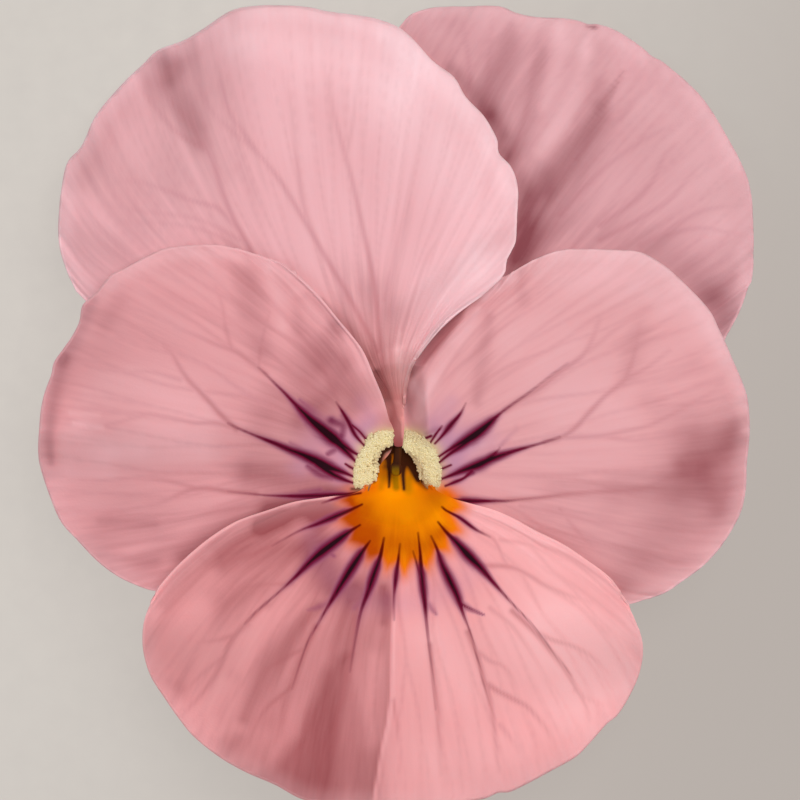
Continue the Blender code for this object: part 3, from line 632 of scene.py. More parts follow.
def petal_material(name, light, middle, dark, vein, pale, blush, glow, eye=True):
    """Velvety petal tissue, in its colours for painted light, the middle and painted shade, for veins, margin
    and base. Its painted light and shade, veins, whiskers and eye come from the values kept on the blade."""
    tints = (light, middle, dark, vein, pale, blush)
    light, middle, dark, vein, pale, blush = (srgb(*tint) for tint in tints)
    mat, tree, shader, place = new_material(
        name, Roughness=0.7, Sheen_Roughness=0.45, Sheen_Tint=(1.0, 0.86, 0.88, 1.0), Subsurface_Weight=0.2,
        Subsurface_Radius=(1.0, 0.45, 0.45), Subsurface_Scale=0.25 * MM)
    uv = node(tree, "ShaderNodeTexCoord").outputs["UV"]
    way_out = node(tree, "ShaderNodeSeparateXYZ", {0: uv}).outputs["Y"]
    streaks = node(tree, "ShaderNodeGroup", {}, node_tree=streak_group)
    tree.links.new(uv, streaks.inputs["Vector"])
    tree.links.new(place, streaks.inputs["Place"])
    streak = streaks.outputs["Streaks"]

    def streaky(value, reach):
        """A value made uneven by the streaks, so that its edge runs out in fine lines."""
        shift = node(tree, "ShaderNodeMapRange", {0: streak, 1: 0.3, 2: 0.7, 3: -reach, 4: reach}).outputs[0]
        return node(tree, "ShaderNodeMath", {0: value, 1: shift}, operation="ADD").outputs[0]

    def times(first, second):
        return node(tree, "ShaderNodeMath", {0: first, 1: second}, operation="MULTIPLY").outputs[0]

    # Painted light and shade: the kept values mix the middle colour towards the light one or the dark one.
    tone = streaky(attribute(tree, "tone"), 0.22)
    colour = middle
    for end, shade in ((1.0, light), (-1.0, dark)):
        share = node(tree, "ShaderNodeMapRange", {0: tone, 1: 0.0, 2: end}).outputs[0]
        colour = mix_colour(tree, share, colour, shade)
    margin = attribute(tree, "margin")
    colour = mix_colour(tree, step_up(tree, margin, 0.0, 1.1, 0.22, 0.0), colour, pale)
    colour = mix_colour(tree, times(attribute(tree, "vein"), 0.7), colour, vein)
    # Painted highlight: a thin lighter rim along the margin, away from the claw.
    rim_highlight = times(step_up(tree, margin, 0.03, 0.16, 0.65, 0.0), step_up(tree, way_out, 0.1, 0.35))
    colour = mix_colour(tree, rim_highlight, colour, light)
    colour = mix_colour(tree, step_up(tree, way_out, 0.1, 0.7, 1.0, 0.0), colour, blush, "MULTIPLY")
    if eye:
        colour = mix_colour(tree, attribute(tree, "lilac"), colour, srgb(194, 140, 168))
        ragged = streaky(attribute(tree, "gold"), 0.12)
        in_gold = step_up(tree, ragged, -0.3, 0.2)
        gold = mix_colour(tree, step_up(tree, ragged, 0.0, 0.7), srgb(238, 118, 6), srgb(252, 150, 0))
        # The gold darkens to deep orange with the painted shade as well.
        gold = mix_colour(tree, step_up(tree, tone, -1.1, 0.3, 0.9, 0.0), gold, srgb(172, 60, 0))
        gold = mix_colour(tree, attribute(tree, "olive"), gold, srgb(160, 112, 0))
        colour = mix_colour(tree, step_up(tree, ragged, -0.75, 0.05, 0.0, 0.7), colour, srgb(232, 126, 92))
        colour = mix_colour(tree, in_gold, colour, gold)
        colour = mix_colour(tree, attribute(tree, "cream"), colour, srgb(226, 208, 158))
        haze = times(streaky(attribute(tree, "haze"), 0.2), step_up(tree, ragged, -0.3, 0.2, 1.0, 0.2))
        colour = mix_colour(tree, step_up(tree, haze, 0.05, 0.6, 0.0, 0.5), colour, srgb(150, 72, 112))
        colour = mix_colour(tree, step_up(tree, haze, 0.35, 1.0, 0.0, 0.85), colour, srgb(110, 8, 62))
        depth = streaky(attribute(tree, "whisker"), 0.03)
        strength = attribute(tree, "strength")
        crimson = mix_colour(tree, in_gold, srgb(116, 6, 48), srgb(116, 22, 0))
        black = mix_colour(tree, in_gold, srgb(36, 0, 14), srgb(60, 6, 0))
        colour = mix_colour(tree, times(step_up(tree, depth, -0.05, 0.045), strength), colour, crimson)
        colour = mix_colour(tree, times(step_up(tree, depth, 0.015, 0.12), strength), colour, black)
        # The throat wash is painted shade: dark brown where the petals' bases fall away into the hollow
        # throat.
        colour = mix_colour(tree, attribute(tree, "throat"), colour, srgb(62, 30, 15))
    # The petals glow a little and the gold of the eye more: a painted light that lifts their shade, most in
    # the throat's funnel.
    for socket, on_pink, on_gold in (("Emission Strength", glow, 0.1), ("Sheen Weight", 0.08, 0.01),
                                     ("Specular IOR Level", 0.08, 0.02)):
        if eye:
            tree.links.new(step_up(tree, ragged, -0.2, 0.14, on_pink, on_gold), shader.inputs[socket])
        else:
            shader.inputs[socket].default_value = on_pink
    for socket in ("Base Color", "Emission Color"):
        tree.links.new(colour, shader.inputs[socket])
    cells = node(tree, "ShaderNodeMath", {0: streak, 1: streaks.outputs["Velvet"]}, operation="ADD")
    roughen(tree, shader, cells.outputs[0], 0.25, 0.04)
    return mat


UPPER_RIGHT_WAVES = [(14.4, 18.8, -0.97, 4.6), (7.6, 21.8, 0.7, 2.0), (16.4, 12.0, 0.8, 2.4),
                     (12.5, 15.5, 0.4, 2.2), (4.3, 22.6, 0.9, 2.0), (10.8, 21.4, -0.5, 1.6),
                     (17.0, 15.0, -0.5, 1.7), (17.2, 9.3, -0.4, 1.6)]


def upper_right_height(x, y):
    seen = smoothstep(0.0, 2.5, x - np.interp(y, [8, 13, 17, 22], [6.5, 7.0, 6.0, 1.5]))
    fold = distance_to(x, y, [(6.6, 12.0), (9.85, 17.4), (11.3, 19.6)])
    base_sink = 1.1 * (1.0 - smoothstep(4.2, 6.4, np.hypot(x, y)))
    return dome(x, y) + swells(x, y, UPPER_RIGHT_WAVES) - 0.6 * seen * near(fold, 0.9) - base_sink


upper_right_outline = (
    [(414, 395), (423, 399), (432, 403)],
    [(414, 395), (417, 374), (417, 350), (402, 310), (368, 250), (338, 180), (340, 114), (370, 62)],
    [(370, 62), (400, 26), (410, 15), (425, 9), (443, 4), (466, 5), (488, 3), (502, 6), (517, 13),
     (538, 17), (563, 18), (580, 21), (588, 24), (597, 24), (611, 28), (626, 36), (643, 48), (652, 56),
     (662, 61), (673, 70), (684, 79), (701, 96), (714, 114), (727, 136), (739, 158), (748, 179), (752, 199),
     (755, 227), (754, 260), (752, 280), (749, 286), (742, 306), (735, 321), (724, 340), (710, 358)],
    [(432, 403), (478, 402), (548, 400), (628, 394), (680, 380), (710, 358)])
leaf = blade("upper_right_petal", upper_right_outline, upper_right_height, 170, 190, 0.06, 3)
veins = vein_values(leaf, 5, 7, [
    (2.6, 0.5, [(560, 215), (600, 172), (640, 142), (675, 124)]),
    (2.4, 0.55, [(600, 226), (640, 196), (656, 175), (664, 156), (676, 144)]),
    (2.4, 0.5, [(600, 240), (645, 216), (672, 197), (695, 170), (715, 158)]),
    (2.4, 0.4, [(640, 246), (700, 212), (745, 205)]),
    (2.4, 0.4, [(514, 150), (527, 110), (535, 60), (540, 25)]),
    (2.4, 0.35, [(575, 120), (600, 80), (612, 55)]), (2.4, 0.35, [(620, 120), (640, 95), (660, 80)]),
    (2.4, 0.35, [(650, 240), (700, 228), (748, 238)]), (2.4, 0.4, [(470, 90), (468, 55), (462, 20)]),
    (2.4, 0.35, [(488, 100), (489, 60), (492, 15)])])
# Painted light and shade: the upper left petal's shadow along this petal's inner side and a shadow in its
# fold, with painted light on the ridge beside the fold and along the top margin.
tone = shading(leaf.x, leaf.y, [
    (-0.42, [(452, 70, 8), (470, 94, 13), (486, 120, 15), (504, 156, 12)]),
    (-0.45, [(486, 112, 12), (494, 80, 18), (504, 52, 17), (512, 26, 10)]),
    (-0.3, [(548, 24, 8), (543, 45, 10), (537, 80, 11), (526, 120, 12), (510, 150, 11)]),
    (0.5, [(587, 42, 6), (583, 70, 8), (571, 100, 9), (556, 128, 9), (540, 150, 8)]),
    (0.35, [(562, 30, 9), (556, 70, 9), (545, 105, 8)]),
    (-0.55, [(622, 72, 3), (610, 94, 6), (597, 116, 9), (583, 138, 12), (566, 162, 16), (548, 183, 18),
             (534, 204, 20), (524, 228, 19), (516, 252, 15), (509, 270, 8)]),
    (-0.2, [(606, 122, 12), (588, 156, 20), (570, 190, 26), (552, 220, 30), (536, 248, 28)]),
    (-0.45, [(508, 165, 10), (524, 190, 14), (526, 225, 14), (518, 258, 12)]),
    (0.35, [(640, 90, 30), (690, 130, 34), (715, 180, 36), (725, 220, 30)]),
    (0.2, [(615, 60, 16), (600, 95, 12)]),
    (0.3, [(432, 10, 7), (470, 8, 7), (510, 14, 7), (548, 22, 7), (580, 28, 8), (612, 36, 8), (646, 58, 8),
           (680, 84, 8), (712, 120, 8), (738, 165, 8)]), (0.35, [(560, 40, 12), (588, 52, 10)]),
    (-0.25, [(545, 175, 12), (548, 190, 12)]), (0.15, [(432, 32, 12), (452, 42, 12)]),
    (0.15, [(530, 212, 12), (524, 232, 10)]), (-0.4, [(602, 84, 10), (597, 100, 10)]),
    (-0.3, [(520, 151, 12), (535, 148, 12)]), (-0.28, [(494, 116, 10), (505, 134, 8)]),
    (0.2, [(472, 20, 12), (492, 22, 12), (612, 40, 10), (640, 58, 10)]),
    (0.35, [(742, 255, 9), (746, 280, 7)]), (-0.4, [(712, 300, 20), (728, 322, 20)]),
    (-0.3, [(690, 275, 24), (714, 292, 22)]), (-0.25, [(720, 335, 14), (734, 305, 10)]),
    (-0.2, [(610, 236, 30), (650, 246, 26)]), (-0.15, [(530, 235, 20), (570, 228, 22)]),
    (-1.4, [(588, 24, 3), (595, 27, 3.5)]), (-0.3, [(651, 61, 4), (658, 68, 5)]),
    (-0.2, [(673, 80, 4), (683, 86, 4)])])
upper_right_claw = claw([(1.3, 3.95, 6.15), (1.2, 3.6, 5.95), (1.05, 3.3, 5.6), (0.85, 3.2, 5.1)], 0.3)
upper_right_mat = petal_material("petal_rose_back", (236, 186, 192), (214, 158, 164), (140, 76, 84),
                                 (176, 108, 118), (234, 192, 198), (255, 244, 244), 0.05, eye=False)
finish_petal(leaf, veins, tone, {}, upper_right_claw, upper_right_mat, "petal_upper_right", 46.0,
             depth=0.03, foot=None)

# UPPER LEFT PETAL
# The largest petal in view. It lies over the upper right one, and its narrow base runs down between
# the two lateral petals to the throat.
UPPER_LEFT_WAVES = [(-13.6, 19.3, -2.02, 4.6), (-7.0, 21.5, 1.0, 2.6), (-15.2, 13.0, 0.9, 2.4),
                    (3.4, 16.0, 0.8, 2.4), (-9.5, 15.0, 0.45, 3.0), (-11.5, 20.4, -0.4, 1.5),
                    (-4.3, 22.9, -0.4, 1.5), (1.2, 20.8, 0.5, 1.6), (-16.5, 10.2, -0.5, 1.8),
                    (-4.5, 9.5, 0.3, 2.5)]


def upper_left_height(x, y):
    r = np.hypot(x, y)
    right_side = distance_to(x, y, [(0.6, 5.0), (1.85, 6.9), (4.3, 8.85), (5.4, 9.9)])
    over_lateral = np.exp(-(right_side / 1.9) ** 4) * smoothstep(4.6, 6.2, r)
    claw_sink = 1.8 * (1.0 - smoothstep(3.2, 5.4, r)) - 1.35 * (1.0 - smoothstep(1.2, 3.6, r))
    return dome(x, y) + LAYER * (1.0 + over_lateral) - claw_sink + swells(x, y, UPPER_LEFT_WAVES)


upper_left_outline = (
    [(394.5, 446), (398, 447), (402.5, 446)],
    [(394.5, 446), (391, 430), (386, 412), (378, 394), (360, 378), (306, 372), (226, 358), (158, 338),
     (106, 318), (76, 291)],
    [(76, 291), (67, 272), (60, 250), (58, 230), (59, 210), (61, 191), (67, 163), (82, 145), (96, 115),
     (122, 84), (143, 64), (158, 50), (184, 40), (204, 28), (230, 11), (255, 5), (281, 3), (306, 6),
     (327, 11), (357, 15), (378, 19), (400, 28), (415, 41), (433, 61), (454, 77), (466, 97), (484, 116),
     (497, 139), (499, 153), (512, 168), (518, 189), (517, 217), (516, 240), (512, 250), (507, 260),
     (505, 272), (500, 280)],
    [(402.5, 446), (404, 434), (404.6, 420), (404.2, 406), (404.4, 394), (406.8, 380), (411.3, 366),
     (419, 353), (432, 336), (445, 323), (459, 312), (478, 299), (490, 289), (500, 280)],
    2.4)
leaf = blade("upper_left_petal", upper_left_outline, upper_left_height, 200, 225, 0.06, 11, 1.15)
veins = vein_values(leaf, 8, 9, [
    (2.8, 0.8, [(386, 395), (380, 340), (375, 290), (370, 262), (362, 225), (352, 180), (341, 140),
                (333, 110), (327, 75)]),
    (2.8, 0.75, [(378, 352), (345, 290), (326, 258), (310, 230), (295, 205), (283, 185), (268, 165),
                 (255, 150), (240, 138), (225, 125), (210, 108), (198, 85)]),
    (2.4, 0.5, [(258, 153), (241, 130), (229, 110), (222, 85), (218, 62)]),
    (2.8, 0.75, [(290, 305), (262, 270), (245, 240), (232, 215), (222, 190), (212, 160), (200, 140),
                 (188, 120), (170, 100), (158, 82)]),
    (2.4, 0.5, [(240, 232), (220, 210), (205, 204), (190, 200), (170, 192), (140, 182), (112, 182)]),
    (2.4, 0.5, [(204, 148), (182, 136), (165, 120), (150, 100), (135, 84)]),
    (2.4, 0.45, [(316, 240), (303, 205), (297, 160), (291, 112), (283, 70)]),
    (2.2, 0.3, [(384, 300), (397, 240), (410, 185), (424, 120)]),
    (2.2, 0.3, [(402, 330), (425, 262), (442, 232), (462, 180)]),
    (2.2, 0.4, [(262, 275), (225, 240), (180, 225), (120, 222)]),
    (2.2, 0.35, [(345, 160), (353, 120), (358, 70)]),
    (2.2, 0.35, [(240, 240), (200, 220), (150, 212), (100, 205)])])
# Painted light and shade: light on the upper right of the blade and along its top margin, shade near its
# upper left corner, and the left lateral petal's painted shadow down the left side of the narrow base.
tone = shading(leaf.x, leaf.y, [
    (0.45, [(400, 110, 40), (445, 150, 48), (478, 200, 40), (475, 255, 32)]),
    (0.4, [(385, 36, 12), (430, 76, 13), (468, 115, 12), (490, 150, 10), (508, 190, 10)]),
    (0.55, [(240, 40, 24), (275, 40, 34), (335, 55, 40), (395, 75, 40)]),
    (0.4, [(440, 290, 26), (478, 270, 22)]),
    (0.3, [(250, 12, 8), (300, 12, 9), (350, 22, 9), (400, 38, 9), (440, 72, 9), (475, 110, 9)]),
    (0.2, [(285, 90, 22), (300, 140, 22)]), (-0.55, [(151, 59, 9), (159, 66, 13), (166, 78, 12)]),
    (-0.3, [(164, 57, 11), (178, 66, 12)]), (-0.2, [(172, 88, 11), (188, 106, 11), (200, 126, 10)]),
    (-0.3, [(141, 74, 10), (150, 86, 12), (164, 102, 13), (184, 122, 13), (198, 142, 12)]),
    (-0.25, [(372, 290, 18), (384, 310, 16)]), (-0.15, [(392, 348, 8)]),
    (-0.15, [(186, 98, 20), (208, 130, 20), (228, 170, 14)]), (-0.16, [(190, 50, 18), (208, 90, 20)]),
    (-0.2, [(118, 110, 24), (95, 145, 22), (80, 180, 16)]), (-0.2, [(150, 190, 44), (125, 245, 34)]),
    (-0.1, [(250, 200, 40), (290, 260, 30)]), (-0.22, [(352, 275, 24), (362, 315, 24), (376, 355, 16)]),
    (-0.5, [(322, 302, 4), (345, 328, 8), (364, 356, 11), (379, 386, 9), (385, 400, 6)]),
    (0.6, [(398, 350, 5), (402, 375, 4), (402, 392, 3)]),
    (-0.5, [(399, 408, 9), (399, 425, 9), (399, 447, 9)]),
    (-1.1, [(377, 374, 4), (384, 390, 5), (389, 404, 5.5), (393, 419, 4.5), (395, 432, 4), (396, 447, 4)]),
    (0.3, [(402.5, 418, 2), (402.5, 436, 2)]), (-0.6, [(398, 426, 5), (398, 448, 7)]),
    (0.15, [(70, 200, 10), (64, 235, 8)])])
upper_left_claw = claw([(-0.15, 3.4, 6.25), (-0.4, 3.3, 5.9), (-0.7, 3.25, 5.5), (-0.8, 3.2, 5.1)], 0.3)
upper_left_mat = petal_material("petal_rose", (255, 211, 217), (234, 176, 182), (150, 86, 92),
                                (190, 118, 126), (248, 212, 219), (255, 228, 216), 0.015, eye=False)
finish_petal(leaf, veins, tone, {}, upper_left_claw, upper_left_mat, "petal_upper_left", 50.0,
             foot=(2.0, 4.0))

# RIGHT LATERAL PETAL
# It lies under the upper left petal, where its inner side dips down, and over the upper right one.
# Its base carries the whiskers, which lead to the eye, and rolls over into the throat.
RIGHT_LIP = [(0.25, 1.9), (0.5, 1.0), (1.0, 0.35), (1.5, -0.45)]
LATERAL_RIGHT_WAVES = [(15.4, -3.4, -0.9, 3.0), (16.2, 4.4, 0.6, 2.4), (9.5, 8.3, 0.45, 2.4),
                       (11.5, 0.5, 0.4, 3.0), (17.2, 0.9, -0.5, 1.8), (12.6, -6.0, -0.3, 1.5),
                       (11.8, 10.5, 0.4, 1.6), (14.6, 8.6, -0.1, 1.5), (6.5, 4.5, 0.25, 2.2)]
lateral_right_inner = [(403, 433), (403, 420), (402, 405), (402, 390), (404, 374), (408, 358), (417, 338),
                       (429, 320), (443, 303), (456, 286), (466, 268)]


def lateral_right_height(x, y):
    roll = 0.75 * near(distance_to(x, y, RIGHT_LIP), 0.75)
    level = dome(x, y) + LAYER + swells(x, y, LATERAL_RIGHT_WAVES) - roll
    under = 1.0 - smoothstep(0.15, 1.3, distance_to(x, y, photo(lateral_right_inner)))
    return level - under * np.maximum(level - upper_left_height(x, y) + 0.42, 0.0)


GOLD = [(376, 466), (371, 484), (362, 490), (350, 493), (342, 500), (351, 508), (340, 519), (352, 528),
        (350, 541), (363, 546), (368, 558), (380, 555), (387, 569), (397, 562), (404, 573), (413, 560),
        (427, 568), (436, 551), (448, 550), (448, 535), (460, 531), (452, 514), (463, 508), (457, 498),
        (448, 489), (438, 486), (426, 482), (421, 470), (410, 460), (388, 460)]


def mark_values(leaf, whiskers, smudges, **washes):
    """All that the eye's colours need, for one petal. A whisker is a line whose points carry half widths
    in pixels. Smudges add to the purple haze, and each wash is the strokes of one colour."""
    x, y = leaf.x, leaf.y
    inside, strength, haze = whisker_values(x, y, whiskers)
    marks = {"whisker": inside, "strength": strength, "haze": np.maximum(haze, shading(x, y, smudges)),
             "gold": depth_inside(x, y, GOLD)}
    for wash in ("lilac", "cream", "olive", "throat"):
        marks[wash] = np.clip(shading(x, y, washes.get(wash, [])), 0.0, 1.0)
    return marks


lateral_right_outline = (
    [(403, 433), (407, 449), (416, 462), (422, 482)],
    lateral_right_inner,
    [(466, 268), (478, 273), (490, 277), (499, 278), (506, 275.5), (511, 273), (524, 265), (540, 257),
     (562, 250), (582, 249), (618, 250), (640, 252), (656, 260), (669, 269), (681, 280), (701, 300),
     (712, 314), (719, 329), (724, 339), (734, 362), (743, 383), (748, 400), (750, 425), (749, 445),
     (747, 464), (746, 489), (741, 512), (729, 535), (716, 553), (701, 568), (683, 581), (665, 593),
     (647, 599), (630, 604), (612, 604)],
    [(422, 482), (432, 494), (445, 507), (470, 524), (506, 552), (550, 580), (590, 600), (612, 604)])
leaf = blade("right_lateral_petal", lateral_right_outline, lateral_right_height, 195, 195, 0.05, 21, 1.35)
veins = vein_values(leaf, 14, 8, [
    (2.6, 0.85, [(505, 410), (520, 400), (540, 388), (556, 375), (572, 364), (584, 354), (592, 340),
                 (600, 318)]),
    (2.4, 0.8, [(545, 442), (560, 438), (575, 428), (588, 414), (602, 399), (616, 387), (628, 378),
                (642, 371), (656, 361), (670, 350)]),
    (2.2, 0.5, [(560, 438), (600, 436), (625, 431), (650, 425), (680, 410), (702, 398), (722, 384)]),
    (2.4, 0.85, [(495, 501), (540, 498), (570, 494), (600, 492), (625, 491), (642, 489), (664, 488)]),
    (2.2, 0.4, [(520, 506), (570, 516), (620, 530), (660, 535)]),
    (2.2, 0.4, [(625, 380), (634, 355), (640, 325)]), (2.0, 0.35, [(640, 490), (670, 478), (700, 470)]),
    (2.2, 0.3, [(588, 352), (615, 330), (650, 305)]), (2.2, 0.35, [(600, 436), (640, 440), (690, 432)]),
    (2.0, 0.3, [(560, 510), (590, 545), (620, 565)])])
# Painted light and shade: the upper left petal's shadow along the inner side, where the area darkens, painted
# light on the rims and on the dip beside that petal's base, and painted shade towards the lower right.
tone = shading(leaf.x, leaf.y, [
    (0.5, [(478, 310, 4), (466, 328, 7), (449, 352, 8), (434, 378, 7), (424, 402, 5)]),
    (0.55, [(410, 386, 7), (412, 400, 9), (416, 412, 8)]), (-0.25, [(450, 350, 8), (436, 366, 9)]),
    (-0.28, [(490, 318, 6), (485, 348, 9), (480, 375, 9), (477, 402, 6)]),
    (-0.22, [(519, 268, 6), (523, 300, 8)]), (0.2, [(520, 345, 24), (560, 335, 24)]),
    (0.45, [(560, 272, 20), (620, 275, 28), (670, 295, 24)]),
    (0.35, [(560, 254, 7), (640, 256, 7), (682, 286, 9), (716, 332, 9), (740, 385, 9), (746, 430, 6)]),
    (0.6, [(472, 286, 5), (490, 283, 6), (512, 277, 6)]), (0.35, [(700, 320, 18), (718, 352, 15)]),
    (-0.22, [(644, 312, 10), (634, 345, 13), (626, 372, 11), (616, 392, 7)]),
    (-0.5, [(744, 420, 12), (728, 438, 20), (706, 456, 22), (684, 464, 14)]),
    (-0.4, [(738, 460, 22), (718, 480, 28), (690, 476, 24)]),
    (-0.35, [(680, 510, 28), (655, 545, 30), (630, 572, 22)]),
    (-0.3, [(645, 405, 18), (668, 424, 20), (690, 432, 18)]), (-0.25, [(660, 480, 24), (620, 490, 20)]),
    (0.9, [(413, 386, 6), (417, 400, 7), (419, 416, 7)]), (-0.2, [(704, 476, 14), (716, 510, 14)]),
    (-0.12, [(736, 431, 10), (724, 447, 13), (712, 461, 14)]), (-0.15, [(730, 488, 14), (724, 508, 12)]),
    (0.8, [(484, 296, 5), (496, 287, 5)]), (0.5, [(470, 449, 6), (480, 443, 6)]),
    (-0.12, [(720, 520, 24), (690, 560, 20)]), (0.3, [(732, 540, 5), (712, 562, 6), (690, 580, 6)]),
    (-0.3, [(505, 518, 5), (550, 541, 8), (590, 565, 11), (622, 590, 9)]),
    (-0.15, [(560, 500, 20), (600, 510, 24)]), (0.2, [(560, 410, 26), (600, 400, 24), (660, 420, 20)])],
    areas=[(-0.8, 3.5, [(407, 374), (405, 360), (421, 345), (436, 322), (446, 314), (458, 307), (468, 303),
                        (463, 318), (447, 340), (433, 356), (420, 370), (411, 380)])])
marks = mark_values(leaf, [
    [(466, 403, 0.5), (460, 414, 1.3), (450, 426, 2.0), (442, 436, 1.4), (435, 443.5, 0.9)],
    [(442, 426, 0.4), (436, 434, 1.2), (430.5, 442.5, 0.9)], [(431, 436, 1.3), (426, 438, 1.3)],
    [(568, 363, 0.2), (549, 377, 0.4), (527, 394, 0.6), (510, 406, 0.9), (496, 417, 1.7), (484, 428, 3.6),
     (472, 437, 4.2), (460, 443.5, 2.6), (448, 450.5, 1.4), (437, 458, 1.0)],
    [(470, 439, 3.4), (461, 446, 2.4), (449, 454.5, 1.5), (438, 463.5, 1.1)],
    [(451, 465, 0.8), (444, 468, 1.1), (438.5, 470.5, 0.9)],
    [(560, 437, 0.4), (542, 443, 0.9), (525, 448, 1.4), (508, 453, 2.0), (491, 459, 3.0), (478, 465, 3.6),
     (464, 470, 2.4), (453, 474.5, 1.7), (441.5, 479, 1.0)],
    [(486, 461, 3.0), (494, 454.5, 1.9), (500, 448, 0.5)],
    [(472, 471, 1.4), (464, 478, 1.4), (455, 482, 1.5), (445.5, 486, 0.9)],
    [(560, 495, 0.1), (525, 499, 0.4), (505, 501, 0.9), (488, 501, 1.5), (468, 501, 2.1), (452, 499.5, 1.5),
     (437, 495.5, 0.8)]],
    smudges=[(0.45, [(427, 434, 4), (436, 430, 5), (446, 428, 4)]),
             (0.5, [(452, 448, 5), (468, 436, 7), (486, 425, 6), (500, 414, 3)]),
             (0.7, [(468, 473, 4), (482, 468, 5), (494, 461, 4)]),
             (0.3, [(500, 447, 3), (508, 437, 4), (517, 429, 5)]),
             (0.5, [(450, 484, 2), (462, 479, 3), (472, 473, 3)])],
    lilac=[(0.85, [(436, 436, 14), (450, 448, 20), (454, 470, 14)]),
           (0.35, [(474, 440, 18), (488, 440, 14)]), (0.3, [(432, 420, 9), (444, 412, 12), (452, 402, 8)])],
    cream=[(1.2, [(404, 433, 6), (414, 438, 9), (426, 448, 11), (431, 462, 11), (431, 476, 10),
                  (432, 484, 7)])],
    throat=[(1.2, [(404, 447, 3), (410, 457, 4), (415, 468, 4), (418, 480, 4)]),
            (0.7, [(421, 482, 3), (428, 490, 3)])])
lateral_right_claw = claw([(1.7, 0.1, 6.8), (1.5, 0.35, 6.3), (1.6, 0.7, 5.7), (1.75, 1.0, 5.1)], 0.34)
lateral_right_mat = petal_material("petal_rose_right", (242, 192, 198), (226, 164, 168), (160, 90, 96),
                                   (182, 108, 114), (240, 198, 203), (255, 250, 250), 0.015)
finish_petal(leaf, veins, tone, marks, lateral_right_claw, lateral_right_mat, "petal_lateral_right", 48.0)

# LEFT LATERAL PETAL
# Thin velvety tissue like the others, with whiskers at its base. It lies over the upper left petal, and
# its outer margin rolls back a little; the band there is darkened with painted shade as well.
LEFT_LIP = [(-0.15, 1.9), (-0.4, 1.0), (-0.95, 0.35), (-1.45, -0.45)]
LATERAL_LEFT_WAVES = [(-16.2, -1.6, -0.9, 3.0), (-16.6, 4.9, -0.7, 2.0), (-11.0, 7.8, 0.5, 2.6),
                      (-12.6, 1.5, 0.45, 3.0), (-17.6, 1.9, 0.5, 1.7), (-14.2, -4.4, 0.5, 1.8),
                      (-9.6, 10.9, 0.4, 1.5), (-14.0, 9.3, 0.35, 1.6), (-6.5, 3.5, 0.25, 2.2)]


def lateral_left_height(x, y):
    r = np.hypot(x, y)
    over_upper = LAYER * smoothstep(3.2, 5.4, r) * smoothstep(-0.5, 2.5, y)
    roll = 0.75 * near(distance_to(x, y, LEFT_LIP), 0.75)
    return dome(x, y) + LAYER + over_upper + swells(x, y, LATERAL_LEFT_WAVES) - roll


lateral_left_outline = (
    [(372, 482), (380, 465), (391, 451), (395, 434)],
    [(372, 482), (367, 493), (354, 503), (330, 515), (306, 530), (266, 558), (220, 580), (180, 592)],
    [(180, 592), (155, 591), (138, 586), (117, 576), (97, 561), (77, 540), (61, 522), (50, 497), (41, 470),
     (38, 452), (39, 429), (41, 408), (45, 391), (51, 375), (54, 362), (63, 349), (72, 336), (79, 322),
     (81, 310), (84, 303), (96, 293), (103, 284), (112, 274), (127, 267), (142, 259), (158, 251),
     (173, 247), (196, 245), (219, 245), (234, 248), (246, 251), (264, 257), (281, 264), (292, 271)],
    [(395, 434), (393, 428), (389, 419), (383, 398), (374, 376), (362, 349), (342, 324), (321, 298),
     (301, 278), (292, 271)])
leaf = blade("left_lateral_petal", lateral_left_outline, lateral_left_height, 195, 195, 0.05, 33, 1.35)
veins = vein_values(leaf, 23, 8, [
    (2.6, 0.85, [(236, 429), (222, 416), (212, 405), (200, 392), (190, 382), (180, 368), (172, 354),
                 (163, 345)]),
    (2.2, 0.55, [(234, 428), (215, 423), (195, 423), (175, 419), (150, 414), (120, 412)]),
    (2.6, 0.85, [(256, 494), (232, 492), (212, 489), (195, 489), (180, 494), (165, 501), (150, 506)]),
    (2.2, 0.5, [(200, 489), (180, 484), (160, 480), (135, 479)]),
    (2.4, 0.6, [(266, 374), (250, 362), (236, 352), (215, 344), (195, 335), (175, 328)]),
    (2.2, 0.4, [(232, 350), (226, 330), (222, 305), (215, 285)]),
    (2.2, 0.4, [(338, 401), (328, 380), (318, 352), (306, 330)]),
    (2.2, 0.4, [(262, 505), (215, 512), (180, 520), (140, 522), (110, 520)]),
    (2.2, 0.4, [(240, 528), (205, 540), (165, 552), (130, 560), (105, 558)]),
    (2.0, 0.35, [(252, 495), (225, 504), (190, 515)]), (2.0, 0.3, [(180, 380), (150, 372), (120, 372)]),
    (2.0, 0.3, [(150, 414), (110, 424), (80, 430)]), (2.0, 0.35, [(258, 368), (262, 340), (270, 310)])])
